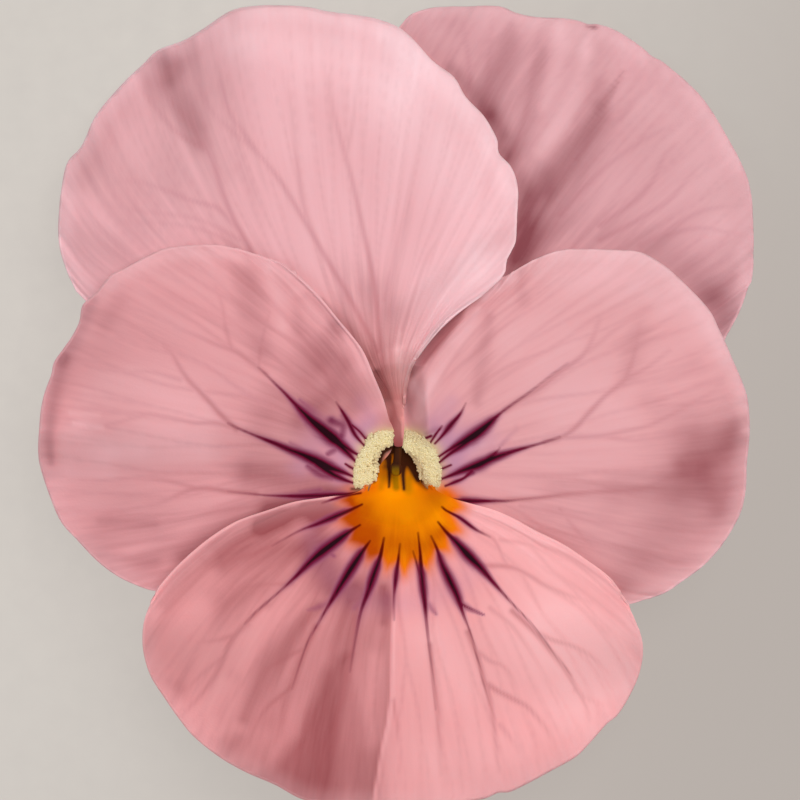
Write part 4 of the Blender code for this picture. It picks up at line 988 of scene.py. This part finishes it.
# Painted light and shade: the dark band along the rolled outer margin, glints and a lit middle, and painted
# shadow along the lower petal's edge and near the base.
tone = shading(leaf.x, leaf.y, [
    (-0.5, [(92, 300, 7), (84, 318, 9), (75, 336, 9), (64, 358, 10)]),
    (-0.6, [(62, 358, 8), (56, 382, 9), (51, 410, 8), (49, 438, 7), (51, 462, 5)]),
    (0.35, [(90, 390, 14), (130, 384, 24), (170, 398, 26), (200, 412, 20)]),
    (0.45, [(80, 436, 18), (100, 446, 20), (130, 446, 24), (165, 446, 22), (200, 450, 18)]),
    (0.2, [(60, 440, 12), (62, 480, 12)]), (0.3, [(72, 462, 13), (104, 466, 14)]),
    (0.25, [(108, 452, 12), (138, 450, 12)]),
    (-0.4, [(306, 296, 6), (318, 306, 7), (328, 317, 7), (340, 330, 6)]),
    (-0.25, [(306, 350, 16), (318, 366, 12)]), (-0.25, [(300, 420, 9), (330, 392, 10)]),
    (0.5, [(74, 423, 2.5), (88, 425, 3.5), (102, 427, 2.5)]), (0.3, [(70, 413, 2.5), (98, 415, 3)]),
    (-0.3, [(247, 248, 6), (250, 275, 12), (253, 300, 14), (258, 328, 15), (262, 350, 12)]),
    (-0.15, [(232, 252, 6), (238, 285, 9), (244, 315, 9)]),
    (0.3, [(268, 268, 6), (276, 296, 8), (283, 325, 8)]),
    (0.35, [(110, 282, 7), (150, 260, 7), (200, 252, 8), (250, 258, 7), (288, 276, 6)]),
    (0.25, [(300, 290, 12), (325, 320, 10)]), (-0.2, [(296, 300, 6), (300, 330, 8)]),
    (-0.4, [(334, 325, 8), (324, 350, 16), (310, 376, 22), (300, 400, 20)]),
    (-0.2, [(348, 362, 8), (336, 384, 12)]), (0.15, [(348, 345, 6), (366, 374, 8), (378, 402, 7)]),
    (-0.38, [(338, 360, 14), (350, 385, 16), (355, 405, 12)]), (-0.35, [(322, 412, 20), (300, 425, 18)]),
    (-0.35, [(270, 400, 20), (262, 425, 20)]), (-0.65, [(250, 474, 16), (295, 482, 17), (325, 488, 14)]),
    (-0.75, [(348, 488, 7), (330, 496, 8), (300, 502, 9), (270, 508, 11)]),
    (-0.55, [(318, 508, 5), (290, 513, 9), (250, 520, 14), (215, 534, 14), (185, 556, 12)]),
    (-0.2, [(110, 520, 20), (160, 535, 24), (150, 565, 18)]), (-0.2, [(100, 521, 5), (155, 524, 6)]),
    (-0.2, [(100, 556, 6), (155, 562, 7)]), (0.12, [(95, 490, 22), (75, 480, 16)]),
    (0.15, [(150, 275, 20), (205, 268, 20)]), (-0.2, [(120, 300, 12), (105, 325, 10)])])
marks = mark_values(leaf, [
    [(336, 402, 0.5), (342, 411, 1.3), (349, 423, 1.8), (355.5, 435.5, 1.6), (366, 447.5, 0.8)],
    [(352, 425, 0.8), (360, 432, 1.1), (366.5, 440, 1.0)],
    [(258, 367, 0.3), (268, 376.5, 0.7), (281, 389.5, 1.2), (295.5, 404.5, 1.8), (308.5, 417.5, 3.0),
     (320, 427.5, 4.2), (333, 438.5, 4.9), (342, 445, 3.0), (352, 451.5, 1.7), (360.5, 456, 1.0)],
    [(336, 441, 4.0), (345, 450, 2.6), (355, 461, 1.2)],
    [(345.5, 464, 0.8), (350, 467, 1.2), (355.5, 470, 0.9)],
    [(228, 423.5, 0.4), (242, 430, 0.9), (259, 437, 1.3), (275, 443.5, 1.8), (289, 449.5, 2.2),
     (303.5, 455, 3.0), (316, 461, 4.2), (326, 466.5, 4.5), (335, 469.5, 2.8), (345, 473, 1.7),
     (354.5, 477, 1.0)], [(318, 463, 4.0), (331, 473, 2.8), (345, 480, 1.6), (355, 483.5, 0.9)],
    [(228, 491.5, 0.2), (252, 494, 0.6), (268, 495.5, 1.0), (289, 496, 1.5), (310, 496, 1.8),
     (332.5, 495, 1.8), (349, 494, 1.6), (363, 491.5, 1.0)]],
    smudges=[(0.5, [(300, 400, 3), (312, 412, 7), (326, 426, 8), (336, 436, 5)]),
             (0.5, [(306, 424, 4), (318, 436, 5)]),
             (0.75, [(332, 420, 5), (343, 428, 5), (338, 446, 5), (328, 454, 4)]),
             (0.5, [(290, 443, 3), (300, 448, 4), (306, 452, 3)]),
             (0.8, [(308, 466, 4), (320, 474, 6), (332, 478, 4)]),
             (0.6, [(343, 415, 4), (352, 425, 5), (361, 433, 5), (367, 439, 3)]),
             (0.5, [(300, 492, 3), (320, 490, 4)])],
    lilac=[(0.7, [(366, 428, 12), (354, 442, 16), (345, 458, 16), (340, 474, 10)]),
           (0.45, [(325, 436, 16), (312, 446, 16), (300, 466, 12)]), (0.25, [(374, 418, 8), (362, 402, 9)])],
    cream=[(1.2, [(392, 434, 6), (383, 438, 9), (372, 448, 11), (366, 461, 11), (364, 474, 10),
                  (363, 484, 7)])],
    throat=[(1.2, [(392, 447, 3), (383, 452, 4), (379, 462, 4), (377, 478, 4)]),
            (0.8, [(352, 489, 2), (360, 489, 3)]), (0.7, [(374, 483, 3), (366, 492, 3)])])
lateral_left_claw = claw([(-1.65, 0.1, 6.8), (-1.45, 0.35, 6.3), (-1.55, 0.7, 5.7), (-1.7, 1.0, 5.1)], 0.34)
lateral_left_mat = petal_material("petal_rose_left", (243, 187, 192), (224, 157, 161), (156, 88, 94),
                                  (176, 102, 108), (244, 192, 198), (255, 248, 248), 0.04)
finish_petal(leaf, veins, tone, marks, lateral_left_claw, lateral_left_mat, "petal_lateral_left", 48.0)

# BEARDS
# A pad of short cream hairs, each with a rounded club tip, grows on the base of either lateral petal
# beside the throat. They stand close and lean a little apart.


def beard(name, outline, height, shade, seed):
    """A pad of hairs on a petal, within an outline. Every hair is the same small bar of a few faces, set at
    its own place, length, lean and turn, and it is darker at its foot and where the pad lies in shade."""
    hairs = 1150
    rng = np.random.default_rng(seed)
    bpy.ops.mesh.primitive_cylinder_add(vertices=5, radius=1.0, depth=1.0, end_fill_type="TRIFAN")
    hair = bpy.context.object
    bpy.ops.object.mode_set(mode="EDIT")
    for share in (0.25, -0.15):
        bpy.ops.mesh.select_all(action="SELECT")
        bpy.ops.mesh.bisect(plane_co=(0, 0, share), plane_no=(0, 0, 1))
    bpy.ops.object.mode_set(mode="OBJECT")
    shape = points_of(hair) * MM
    t = shape[:, 2] + 0.5
    girth = np.interp(t, [0.0, 0.35, 0.75, 1.0], [0.9, 0.75, 1.0, 0.6])
    t = np.where((t > 0.99) & (np.hypot(shape[:, 0], shape[:, 1]) < 0.1), 1.07, t)
    faces = [list(polygon.vertices) for polygon in hair.data.polygons]
    bpy.data.objects.remove(hair)
    loop = photo(outline)
    spots = rng.uniform(loop.min(axis=0), loop.max(axis=0), (6000, 2))
    depth = depth_inside(spots[:, 0], spots[:, 1], outline)
    spots, depth = spots[depth > 0.0][:hairs], depth[depth > 0.0][:hairs]
    low = height(spots[:, 0], spots[:, 1]) - 0.06
    centre = loop.mean(axis=0)
    points, polygons, tints = [], [], []
    for number, ((px, py), deep, foot) in enumerate(zip(spots, depth, low)):
        long = rng.uniform(0.34, 0.39) * (0.55 + 0.45 * smoothstep(0.0, 0.25, deep)) + 0.06
        outward = 0.35 * (1.0 - smoothstep(0.0, 0.3, deep))
        side = np.array([outward * np.sign(px - centre[0]) + rng.normal(0.0, 0.15),
                         outward * np.sign(py - centre[1]) * 0.5 + rng.normal(0.0, 0.15), 1.0])
        side /= np.linalg.norm(side)
        thick = rng.uniform(0.056, 0.076)
        cx, cy, _ = turned(shape, math.degrees(rng.uniform(0.0, 6.28))).T
        axis = np.array([px, py, foot]) + t[:, None] * long * side
        around = np.column_stack([cx, cy, -(cx * side[0] + cy * side[1]) / side[2]])
        points.append(axis + thick * girth[:, None] * around)
        polygons.extend([[corner + number * len(shape) for corner in face] for face in faces])
        tints.append(t * (0.55 + 0.45 * smoothstep(-0.05, 0.25, deep)))
    mesh = bpy.data.meshes.new(name)
    mesh.from_pydata((as_seen(np.vstack(points)) * MM).tolist(), [], polygons)
    obj = bpy.data.objects.new(name, mesh)
    bpy.context.scene.collection.objects.link(obj)
    # Painted shade where the pad lies in shade, darkening the tip value.
    dark = np.repeat(np.clip(shading(spots[:, 0], spots[:, 1], shade), 0.0, 1.0), len(shape))
    keep_values(obj, tip=np.concatenate(tints) * (1.0 - dark))
    return obj


# The hairs glow a little, a painted light that lifts the shade between them.
beard_mat, tree, shader, place = new_material(
    "beard_hair", Roughness=0.7, Emission_Strength=0.42, Specular_IOR_Level=0.1, Subsurface_Weight=0.7,
    Subsurface_Radius=(1.0, 0.9, 0.6), Subsurface_Scale=0.25 * MM)
tip = step_up(tree, attribute(tree, "tip"), 0.1, 0.9)
cream = mix_colour(tree, tip, srgb(168, 149, 117), srgb(199, 187, 149))
clump = step_up(tree, noise(tree, place, 1800.0, 2.0), 0.45, 0.75, 0.0, 0.3)
cream = mix_colour(tree, clump, cream, srgb(190, 173, 136))
for socket in ("Base Color", "Emission Color"):
    tree.links.new(cream, shader.inputs[socket])
LEFT_PAD = [(390, 433), (393, 440), (390, 446), (383, 449), (378, 455), (376, 462), (377, 470), (375, 479),
            (371, 484), (364, 487), (356, 486), (355, 478), (356, 465), (360, 456), (366, 447), (369, 438),
            (375, 433), (382, 431)]
RIGHT_PAD = [(405, 433), (404, 440), (404, 447), (408, 452), (413, 456), (417, 462), (420, 470), (421, 478),
             (426, 484), (432, 487), (438, 485), (440, 477), (439, 467), (437, 458), (433, 450), (427, 444),
             (423, 438), (417, 435), (411, 432)]
LEFT_SHADE = [(0.5, [(385, 452, 5), (377, 457, 4), (376, 464, 3)]), (0.35, [(393, 436, 4), (392, 446, 3)]),
              (0.3, [(372, 432, 5), (366, 442, 4)]), (0.3, [(360, 488, 4), (368, 486, 4)])]
RIGHT_SHADE = [(0.45, [(410, 436, 7), (420, 440, 7), (430, 445, 4)]),
               (0.7, [(411, 455, 4), (418, 461, 5), (422, 470, 5), (425, 480, 5)]),
               (0.3, [(430, 484, 5), (437, 482, 4)])]
for name, outline, height, shade, seed in (("left_beard", LEFT_PAD, lateral_left_height, LEFT_SHADE, 2),
                                           ("right_beard", RIGHT_PAD, lateral_right_height, RIGHT_SHADE, 4)):
    pad = beard(name, outline, height, shade, seed)
    pad.data.materials.append(beard_mat)
    pad.data.shade_smooth()
    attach(pad, "root")

# LOWER PETAL
# The widest petal lies over both lateral ones. A fold runs down its middle, its golden eye dips into
# the throat as a funnel, and behind it the funnel becomes the hollow nectar spur.
LOWER_WAVES = [(-11.0, -10.8, -0.8, 2.8), (10.6, -11.2, -0.5, 2.6), (-6.2, -14.6, 0.6, 2.0),
               (6.4, -14.6, 0.5, 2.0), (-8.6, -5.4, 0.3, 2.0), (-12.2, -7.6, 0.45, 1.7),
               (11.8, -8.4, 0.2, 1.6), (-2.6, -16.4, -0.35, 1.4), (3.0, -16.2, -0.35, 1.5),
               (-9.2, -13.8, -0.45, 1.6)]
THROAT = [(362, 492), (364, 478), (370, 460), (384, 446), (398, 440), (414, 446), (428, 460), (432, 478),
          (436, 492)]
CREASE = [(395, 575), (394, 605), (393, 650), (392, 696), (388, 725), (382, 752), (374, 800)]


def lower_height(x, y):
    r = np.hypot(x, y)
    sink = 1.9 * (1.0 - smoothstep(1.2, 3.0, r))
    keel = smoothstep(4.0, 9.0, -y) * 0.6 * near(x, 1.3)
    keel -= smoothstep(7.0, 12.0, -y) * 0.11 * np.abs(x)
    return dome(x, y) + 2.0 * LAYER - sink + keel + swells(x, y, LOWER_WAVES)


lower_outline = (
    [(424, 464), (413, 452), (398, 446), (384, 452), (373, 464)],
    [(424, 464), (427, 480), (436, 490), (452, 498), (469, 503), (494, 510), (515, 519), (535, 530),
     (563, 544), (584, 558), (604, 573), (617, 589)],
    [(617, 589), (630, 609), (641, 635), (643, 655), (638, 678), (627, 701), (617, 716), (607, 724),
     (591, 742), (576, 757), (553, 770), (527, 784), (510, 792), (498, 793), (484, 799), (460, 802),
     (430, 804), (390, 805), (340, 804), (304, 800), (275, 785), (245, 772), (219, 757), (194, 737),
     (179, 719), (163, 696), (150, 675), (143, 650), (143, 627), (148, 609), (158, 590)],
    [(373, 464), (369, 480), (361, 490), (346, 495), (334, 496), (319, 498), (293, 502), (268, 510),
     (242, 519), (224, 529), (204, 543), (186, 558), (171, 573), (158, 590)])
leaf = blade("lower_petal", lower_outline, lower_height, 200, 225, 0.05, 41, 1.3)
veins = vein_values(leaf, 31, 9, [
    (2.4, 0.9, [(512, 611), (524, 622), (538, 636), (548, 648), (558, 660), (567, 672), (575, 686),
                (584, 702), (590, 720)]),
    (2.4, 0.9, [(468, 632), (478, 658), (484, 680), (489, 697), (493, 718), (496, 745), (499, 772)]),
    (2.4, 0.8, [(430, 645), (434, 680), (437, 705), (439, 735), (442, 775)]),
    (2.2, 0.5, [(478, 652), (490, 661), (501, 665), (510, 674), (518, 690)]),
    (2.4, 0.75, [(484, 682), (496, 690), (511, 698), (526, 706), (537, 717), (547, 730), (554, 742)]),
    (2.2, 0.55, [(536, 632), (552, 640), (572, 646), (592, 657), (608, 674)]),
    (2.2, 0.55, [(482, 532), (494, 540), (500, 551), (506, 562), (518, 574)]),
    (2.4, 0.7, [(478, 566), (498, 566), (514, 568), (530, 576), (546, 586), (570, 596), (592, 603)]),
    (2.2, 0.4, [(490, 608), (510, 624), (524, 642), (536, 660), (547, 680)]),
    (2.2, 0.35, [(500, 540), (530, 545), (560, 560)]), (2.2, 0.35, [(500, 725), (512, 740), (520, 755)]),
    (2.2, 0.35, [(575, 690), (590, 700), (604, 706)]),
    (2.4, 0.8, [(266, 604), (252, 617), (240, 630), (229, 645), (222, 662), (212, 680), (200, 696),
                (189, 708), (180, 718)]),
    (2.6, 0.95, [(316, 626), (305, 650), (298, 668), (292, 685), (282, 695), (270, 705), (261, 716),
                 (255, 728), (248, 745)]),
    (2.4, 0.9, [(357, 616), (354, 640), (350, 660), (346, 680), (342, 702), (337, 725), (334, 750)]),
    (2.4, 0.6, [(304, 649), (291, 655), (279, 662), (268, 669), (262, 680)]),
    (2.4, 0.5, [(248, 624), (236, 634), (218, 640), (198, 643)]),
    (2.2, 0.4, [(225, 655), (205, 672), (185, 690)]),
    (2.2, 0.5, [(278, 542), (258, 552), (232, 560), (205, 570)]),
    (2.2, 0.4, [(292, 584), (262, 585), (232, 590)]), (2.2, 0.4, [(284, 694), (282, 715), (276, 745)]),
    (1.6, 0.5, [(393, 700), (397, 725), (402, 765)])])
crease_x, crease_y = photo(CREASE).T
crease = distance_to(leaf.x, leaf.y, photo(CREASE))
left_of_crease = smoothstep(-0.13, 0.13, np.interp(leaf.y, crease_y[::-1], crease_x[::-1]) - leaf.x)
folded = smoothstep(5.6, 8.5, -leaf.y)
# Painted light and shade: the right half is lit and the left of the fold lies in painted shade, deepest in a
# wedge beside it, with more painted shade round the eye's left side.
tone = shading(leaf.x, leaf.y, [
    (0.6, [(480, 520, 22), (530, 560, 34), (570, 610, 38)]), (0.4, [(520, 650, 60), (580, 680, 45)]),
    (0.5, [(560, 640, 36), (600, 664, 36), (575, 710, 34)]), (0.2, [(470, 560, 20), (500, 600, 24)]),
    (0.35, [(430, 770, 36), (490, 765, 36)]), (0.3, [(500, 515, 10), (560, 550, 12), (600, 580, 12)]),
    (0.4, [(625, 640, 22), (620, 680, 22)]), (0.25, [(430, 640, 20), (460, 690, 24)]),
    (-0.5, [(318, 607, 7), (302, 624, 11), (285, 645, 14), (268, 668, 14), (254, 695, 11), (244, 718, 8)]),
    (0.2, [(262, 612, 8), (250, 640, 10), (240, 665, 8)]),
    (0.25, [(222, 684, 9), (205, 712, 10), (215, 730, 9)]), (0.15, [(262, 735, 8), (250, 758, 9)]),
    (-0.25, [(238, 738, 6), (226, 756, 6)]), (-0.3, [(355, 598, 12), (350, 625, 15), (345, 650, 12)]),
    (-0.35, [(300, 560, 26), (260, 585, 28), (225, 600, 24)]),
    (-0.35, [(305, 545, 14), (260, 552, 14), (225, 566, 12)]), (0.15, [(205, 610, 14), (200, 650, 18)]),
    (-0.15, [(180, 690, 8), (165, 680, 7)]), (-0.55, [(280, 522, 12), (250, 536, 16), (220, 550, 16)]),
    (0.25, [(376, 660, 10), (372, 700, 11), (370, 740, 12)]),
    (-0.95, [(346, 500, 8), (350, 516, 12), (356, 534, 12), (370, 553, 10)]),
    (-0.5, [(366, 508, 11), (370, 526, 11)]),
    (-0.6, [(376, 540, 12), (400, 546, 15), (424, 546, 12), (444, 530, 8)]),
    (-0.25, [(385, 524, 12), (404, 526, 12), (425, 524, 12)]),
    (0.35, [(392, 497, 10), (404, 503, 12), (408, 516, 8)]), (-0.3, [(432, 497, 8), (446, 508, 8)]),
    (-1.0, [(342, 505, 9), (327, 509, 10), (310, 510, 10), (285, 516, 9), (262, 525, 9)]),
    (-0.5, [(322, 503, 6), (306, 505, 6)]), (-0.34, [(202, 563, 10), (181, 583, 11), (165, 603, 10)]),
    (-0.2, [(222, 745, 14)]), (-0.9, [(349, 536, 4), (356, 532, 4)]), (-0.2, [(328, 590, 12)]),
    (-0.7, [(318, 524, 12), (320, 540, 18), (324, 560, 20), (338, 585, 20)]),
    (-0.3, [(360, 590, 14), (384, 600, 12)]), (-0.35, [(384, 588, 5), (387, 606, 7), (384, 622, 5)])],
    areas=[(-0.36, 16, [(372, 560), (330, 610), (270, 700), (230, 770), (300, 830), (380, 820), (386, 760),
                        (393, 700), (394, 620), (392, 575)]),
           (-0.42, 9, [(350, 655), (336, 658), (324, 672), (317, 692), (306, 712), (299, 735), (286, 750),
                       (274, 766), (262, 776), (262, 810), (345, 820), (340, 780), (342, 740), (346, 700)]),
           (-0.1, 7, [(352, 680), (340, 820), (378, 820), (381, 778), (384, 752), (374, 740), (362, 715)])])
# A painted highlight along the fold's crest, painted shade just left of it, and painted light on the half
# right of it.
tone += folded * (0.7 * near(crease, 0.1) - 0.25 * left_of_crease * near(crease, 0.3))
tone += folded * 0.28 * (1.0 - left_of_crease) - 0.05
marks = mark_values(leaf, [
    [(272, 546, 0.3), (299, 531, 1.0), (317, 524, 1.6), (334, 517, 2.2), (347, 511.5, 2.0),
     (362, 504.5, 0.9)],
    [(245, 624, 0.3), (256, 612, 0.6), (278, 593, 1.0), (295, 577, 1.6), (310, 562, 2.4), (323, 551, 3.6),
     (338, 540, 3.3), (349, 532, 2.2), (360, 525, 0.9)],
    [(292, 690, 0.3), (306, 646, 0.7), (319, 622, 1.1), (330, 603, 1.5), (341, 585, 2.4), (351, 569, 3.3),
     (360, 555, 2.8), (370, 541, 0.9)],
    [(350, 672, 0.3), (356, 635, 0.6), (361, 611, 1.1), (368, 592, 1.8), (373, 577, 2.6), (380, 557, 2.0),
     (384, 538, 0.7)],
    [(394, 620, 0.4), (394, 596, 1.1), (396, 577, 1.8), (398, 562, 1.6), (400, 544, 0.6)],
    [(436, 710, 0.3), (431, 663, 0.5), (427, 627, 0.9), (425, 605, 1.6), (423, 588, 2.2), (421, 568, 2.2),
     (420, 551, 1.5), (418, 533, 0.6)], [(413, 551, 0.6), (417, 564, 1.3), (421, 578, 1.2)],
    [(489, 705, 0.3), (478, 661, 0.7), (471, 635, 0.9), (463, 614, 1.5), (457, 596, 2.8), (449, 579, 3.2),
     (442, 564, 2.4), (437, 549, 1.6), (431, 536, 0.7)],
    [(461, 604, 1.6), (469, 608, 1.0), (477, 611, 0.3)],
    [(572, 676, 0.3), (544, 640, 0.6), (529, 621, 0.9), (510, 601, 1.1), (494, 583, 1.6), (481, 568, 2.6),
     (468, 555, 3.7), (458, 544, 2.6), (447, 533, 1.8), (438, 522, 0.7)],
    [(490, 537, 0.3), (475, 529, 1.3), (460, 518, 1.5), (447, 511, 1.1), (442, 507, 0.5)],
    [(361, 493, 0.6), (345, 496, 1.4), (334, 499, 1.2), (322, 503, 0.4)]],
    smudges=[(0.55, [(462, 553, 3), (468, 561, 5), (474, 568, 4)]),
             (0.8, [(460, 601, 4), (466, 607, 4.5), (474, 611, 3), (484, 615, 1.5)]),
             (0.5, [(426, 600, 3.5), (431, 608, 4), (436, 614, 2)]),
             (0.5, [(334, 598, 5), (322, 606, 5), (308, 610, 3)]), (0.3, [(361, 602, 4), (355, 608, 4)]),
             (0.25, [(391, 582, 4), (388, 598, 5)]), (0.6, [(344, 582, 5), (337, 592, 4)]),
             (0.6, [(316, 549, 4), (328, 552, 5), (334, 556, 3)]), (0.5, [(446, 583, 3), (452, 592, 3)]),
             (0.4, [(420, 570, 4), (423, 590, 4)]), (0.4, [(296, 579, 3), (286, 587, 2)])],
    lilac=[(0.2, [(310, 535, 12), (322, 562, 15), (345, 590, 16), (380, 602, 14), (415, 602, 13),
                  (448, 592, 14), (476, 570, 13)])],
    olive=[(1.2, [(395.5, 464, 4), (395.5, 476, 4.5), (396, 487, 4)]),
           (0.7, [(409, 479, 5), (408, 489, 6)]), (0.5, [(383, 480, 5), (381, 487, 4)])],
    throat=[(1.6, [(386, 450, 6), (398, 447, 8), (410, 450, 6)]), (0.7, [(386, 457, 4), (385, 466, 4.5)]),
            (0.35, [(383, 474, 6)]), (0.9, [(377, 462, 3), (376, 472, 3), (374, 481, 2)]),
            (1.0, [(389.5, 458, 2.4), (389.5, 474, 2.2), (389, 487, 1.4)]),
            (1.1, [(402.5, 458, 3.4), (403, 475, 2.8), (404, 489, 1.8)]),
            (1.4, [(407, 457, 6), (412, 464, 7), (415, 472, 5), (418, 479, 3.5)]),
            (0.5, [(421, 484, 3), (426, 488, 2.5)])])
leaf.level += 0.03 * folded * np.exp(-crease / 0.2)
marks["gold"] = np.maximum(marks["gold"], depth_inside(leaf.x, leaf.y, THROAT))

# Along the spur, from its mouth: the middle, half width and half depth of its section, and how high its
# upper and lower sides lie.
spur_line = np.array([(-1.0, 1.38, 1.32, 7.2, 5.5), (-1.0, 1.3, 1.24, 6.6, 5.2),
                      (-1.02, 1.2, 1.2, 5.6, 4.85), (-1.1, 1.2, 1.2, 4.3, 4.2), (-1.25, 1.1, 1.1, 3.1, 3.1),
                      (-1.33, 0.85, 0.85, 2.35, 2.35), (-1.36, 0.5, 0.5, 1.95, 1.95),
                      (-1.37, 0.02, 0.02, 1.84, 1.84)])
spur_line = smooth_line(spur_line, 49)
spur, u, v = add_grid("spur", len(spur_line) - 1, 40)
centre, half_width, half_depth, low, high = spur_line[np.rint(u * (len(spur_line) - 1)).astype(int)].T
turn = 2.0 * np.pi * v
dent = 1.0 - 0.025 * np.cos(6.0 * turn)
x = half_width * dent * np.cos(turn)
y = centre + half_depth * dent * np.sin(turn)
level = (low + high) / 2 - (low - high) / 2 * np.sin(turn)
move_points(spur, np.column_stack([x, y, level]))
keep_values(spur, tone=-0.3 + 0.4 * u, vein=near(np.sin(3.0 * turn), 0.25) * 0.6, margin=np.full(len(x), 9.0),
            gold=np.full(len(x), -2.0), whisker=np.full(len(x), -1.5), strength=np.zeros(len(x)))
close_seams(spur)
use_modifier(spur, "SOLIDIFY", thickness=0.28 * MM, offset=-1.0)
lower_mat = petal_material("petal_rose_low", (255, 188, 190), (235, 158, 160), (158, 80, 84),
                           (184, 102, 106), (250, 196, 200), (255, 248, 248), 0.042)
finish_petal(leaf, veins, tone, marks, spur, lower_mat, "petal_lower", 54.0)

# PISTIL
# Ovary, kneed style and round stigma, in one piece. Only the stigma shows in the throat. Its yellow-green
# front has painted shadow at both sides, and all behind it, the style and the upper ovary too, is painted
# dark brown as shade deep in the throat; the ovary's foot keeps its pale green.
OVARY_Y = 1.6
bpy.ops.mesh.primitive_uv_sphere_add(segments=32, ring_count=20, radius=1.0)
pistil = bpy.context.object
pistil.name = "pistil_body"
co = points_of(pistil) * MM
furrow = 1.0 - 0.06 * np.cos(3.0 * np.arctan2(co[:, 1], co[:, 0])) * (1.0 - co[:, 2] ** 2)
co *= np.column_stack([0.49 * furrow, 0.49 * furrow, np.full(len(co), 0.71)])
move_points(pistil, co + (0.0, OVARY_Y, 5.72))
knee = smooth_line([(0.0, OVARY_Y, 6.2), (0.0, 1.45, 6.55), (0.0, 1.0, 6.8), (-0.04, 0.5, 7.05),
                    (-0.08, 0.15, 7.3)], 24)
style = round_bar("style", knee, np.linspace(0.17, 0.21, len(knee)), 20)
bpy.ops.mesh.primitive_uv_sphere_add(segments=32, ring_count=20, radius=1.0)
stigma = bpy.context.object
co = points_of(stigma) * MM
co[:, 2] -= 0.25 * near(np.hypot(co[:, 0], co[:, 1] + 0.55), 0.35) * (co[:, 2] > 0)
move_points(stigma, co * (0.3, 0.37, 0.36) + (-0.1, 0.05, 7.32))
join(pistil, [style, stigma])
move_points(pistil, as_seen(points_of(pistil)))
pistil_mat, tree, shader, place = new_material("pistil_tissue", Roughness=0.9, Specular_IOR_Level=0.05)
axes = node(tree, "ShaderNodeSeparateXYZ", {0: place})
green = mix_colour(tree, noise(tree, place, 4000.0, 3.0), srgb(124, 94, 8), srgb(150, 114, 6))
# Painted shade: dark brown behind the stigma's front, and painted shadow at the stigma's two sides.
brown = step_up(tree, axes.outputs["Y"], -0.1 * MM, 0.4 * MM)
green = mix_colour(tree, brown, green, srgb(62, 32, 18))
for low, high in ((0.02, 0.1), (-0.26, -0.34)):
    beside = step_up(tree, axes.outputs["X"], low * MM, high * MM)
    green = mix_colour(tree, beside, green, srgb(74, 38, 18))
low_down = step_up(tree, axes.outputs["Z"], 5.3 * MM, 5.9 * MM, 1.0, 0.0)
green = mix_colour(tree, low_down, green, srgb(168, 180, 92))
tree.links.new(green, shader.inputs["Base Color"])
finish_piece(pistil, pistil_mat, "pistil_yellow", "pistil")

# STAMENS
# Five anthers stand close round the ovary, each with two pollen sacs, a short filament and a pointed
# orange-brown tip. Their upper parts and tips are painted dark brown, partly that colour and partly
# painted shade deep in the throat. They are fixed round the ovary's foot, one before each sepal.
anther_mat, tree, shader, place = new_material("anther_skin", Roughness=0.6)
height = node(tree, "ShaderNodeSeparateXYZ", {0: place}).outputs["Z"]
cream = mix_colour(tree, noise(tree, place, 6000.0, 2.0), srgb(214, 196, 140), srgb(240, 228, 186))
# Dark brown above: partly the tips' own colour, partly painted shade.
cream = mix_colour(tree, step_up(tree, height, 5.5 * MM, 5.8 * MM), cream, srgb(96, 42, 20))
tree.links.new(cream, shader.inputs["Base Color"])
for number, angle in enumerate((90, 162, 234, 306, 18), start=1):
    bpy.ops.mesh.primitive_uv_sphere_add(segments=20, ring_count=16, radius=1.0)
    anther = bpy.context.object
    anther.name = f"anther_{number}"
    co = points_of(anther) * MM
    groove = 0.3 * near(co[:, 1], 0.22) * (1.0 - co[:, 2] ** 2)
    co *= np.column_stack([0.15 * (1.0 - groove), np.full(len(co), 0.25), np.full(len(co), 0.49)])
    move_points(anther, co + (0.0, 0.0, 5.65))
    filament = round_bar("filament", [(0, 0, 5.02), (0, 0, 5.04), (0, 0, 5.2), (0, 0, 5.4)],
                         [0.05, 0.12, 0.12, 0.11], 12)
    crest = round_bar("crest", [(0, 0, 5.95), (0, 0, 6.1), (0, 0, 6.25), (0, 0, 6.36), (0, 0, 6.39)],
                      [0.14, 0.15, 0.1, 0.06, 0.02], 12)
    join(anther, [filament, crest])
    move_points(anther, turned(points_of(anther) + (0.95, 0.0, 0.0), angle) + (0.0, OVARY_Y, 0.0))
    finish_piece(anther, anther_mat, "anther_cream", f"stamen_{number}")

bpy.context.view_layer.update()
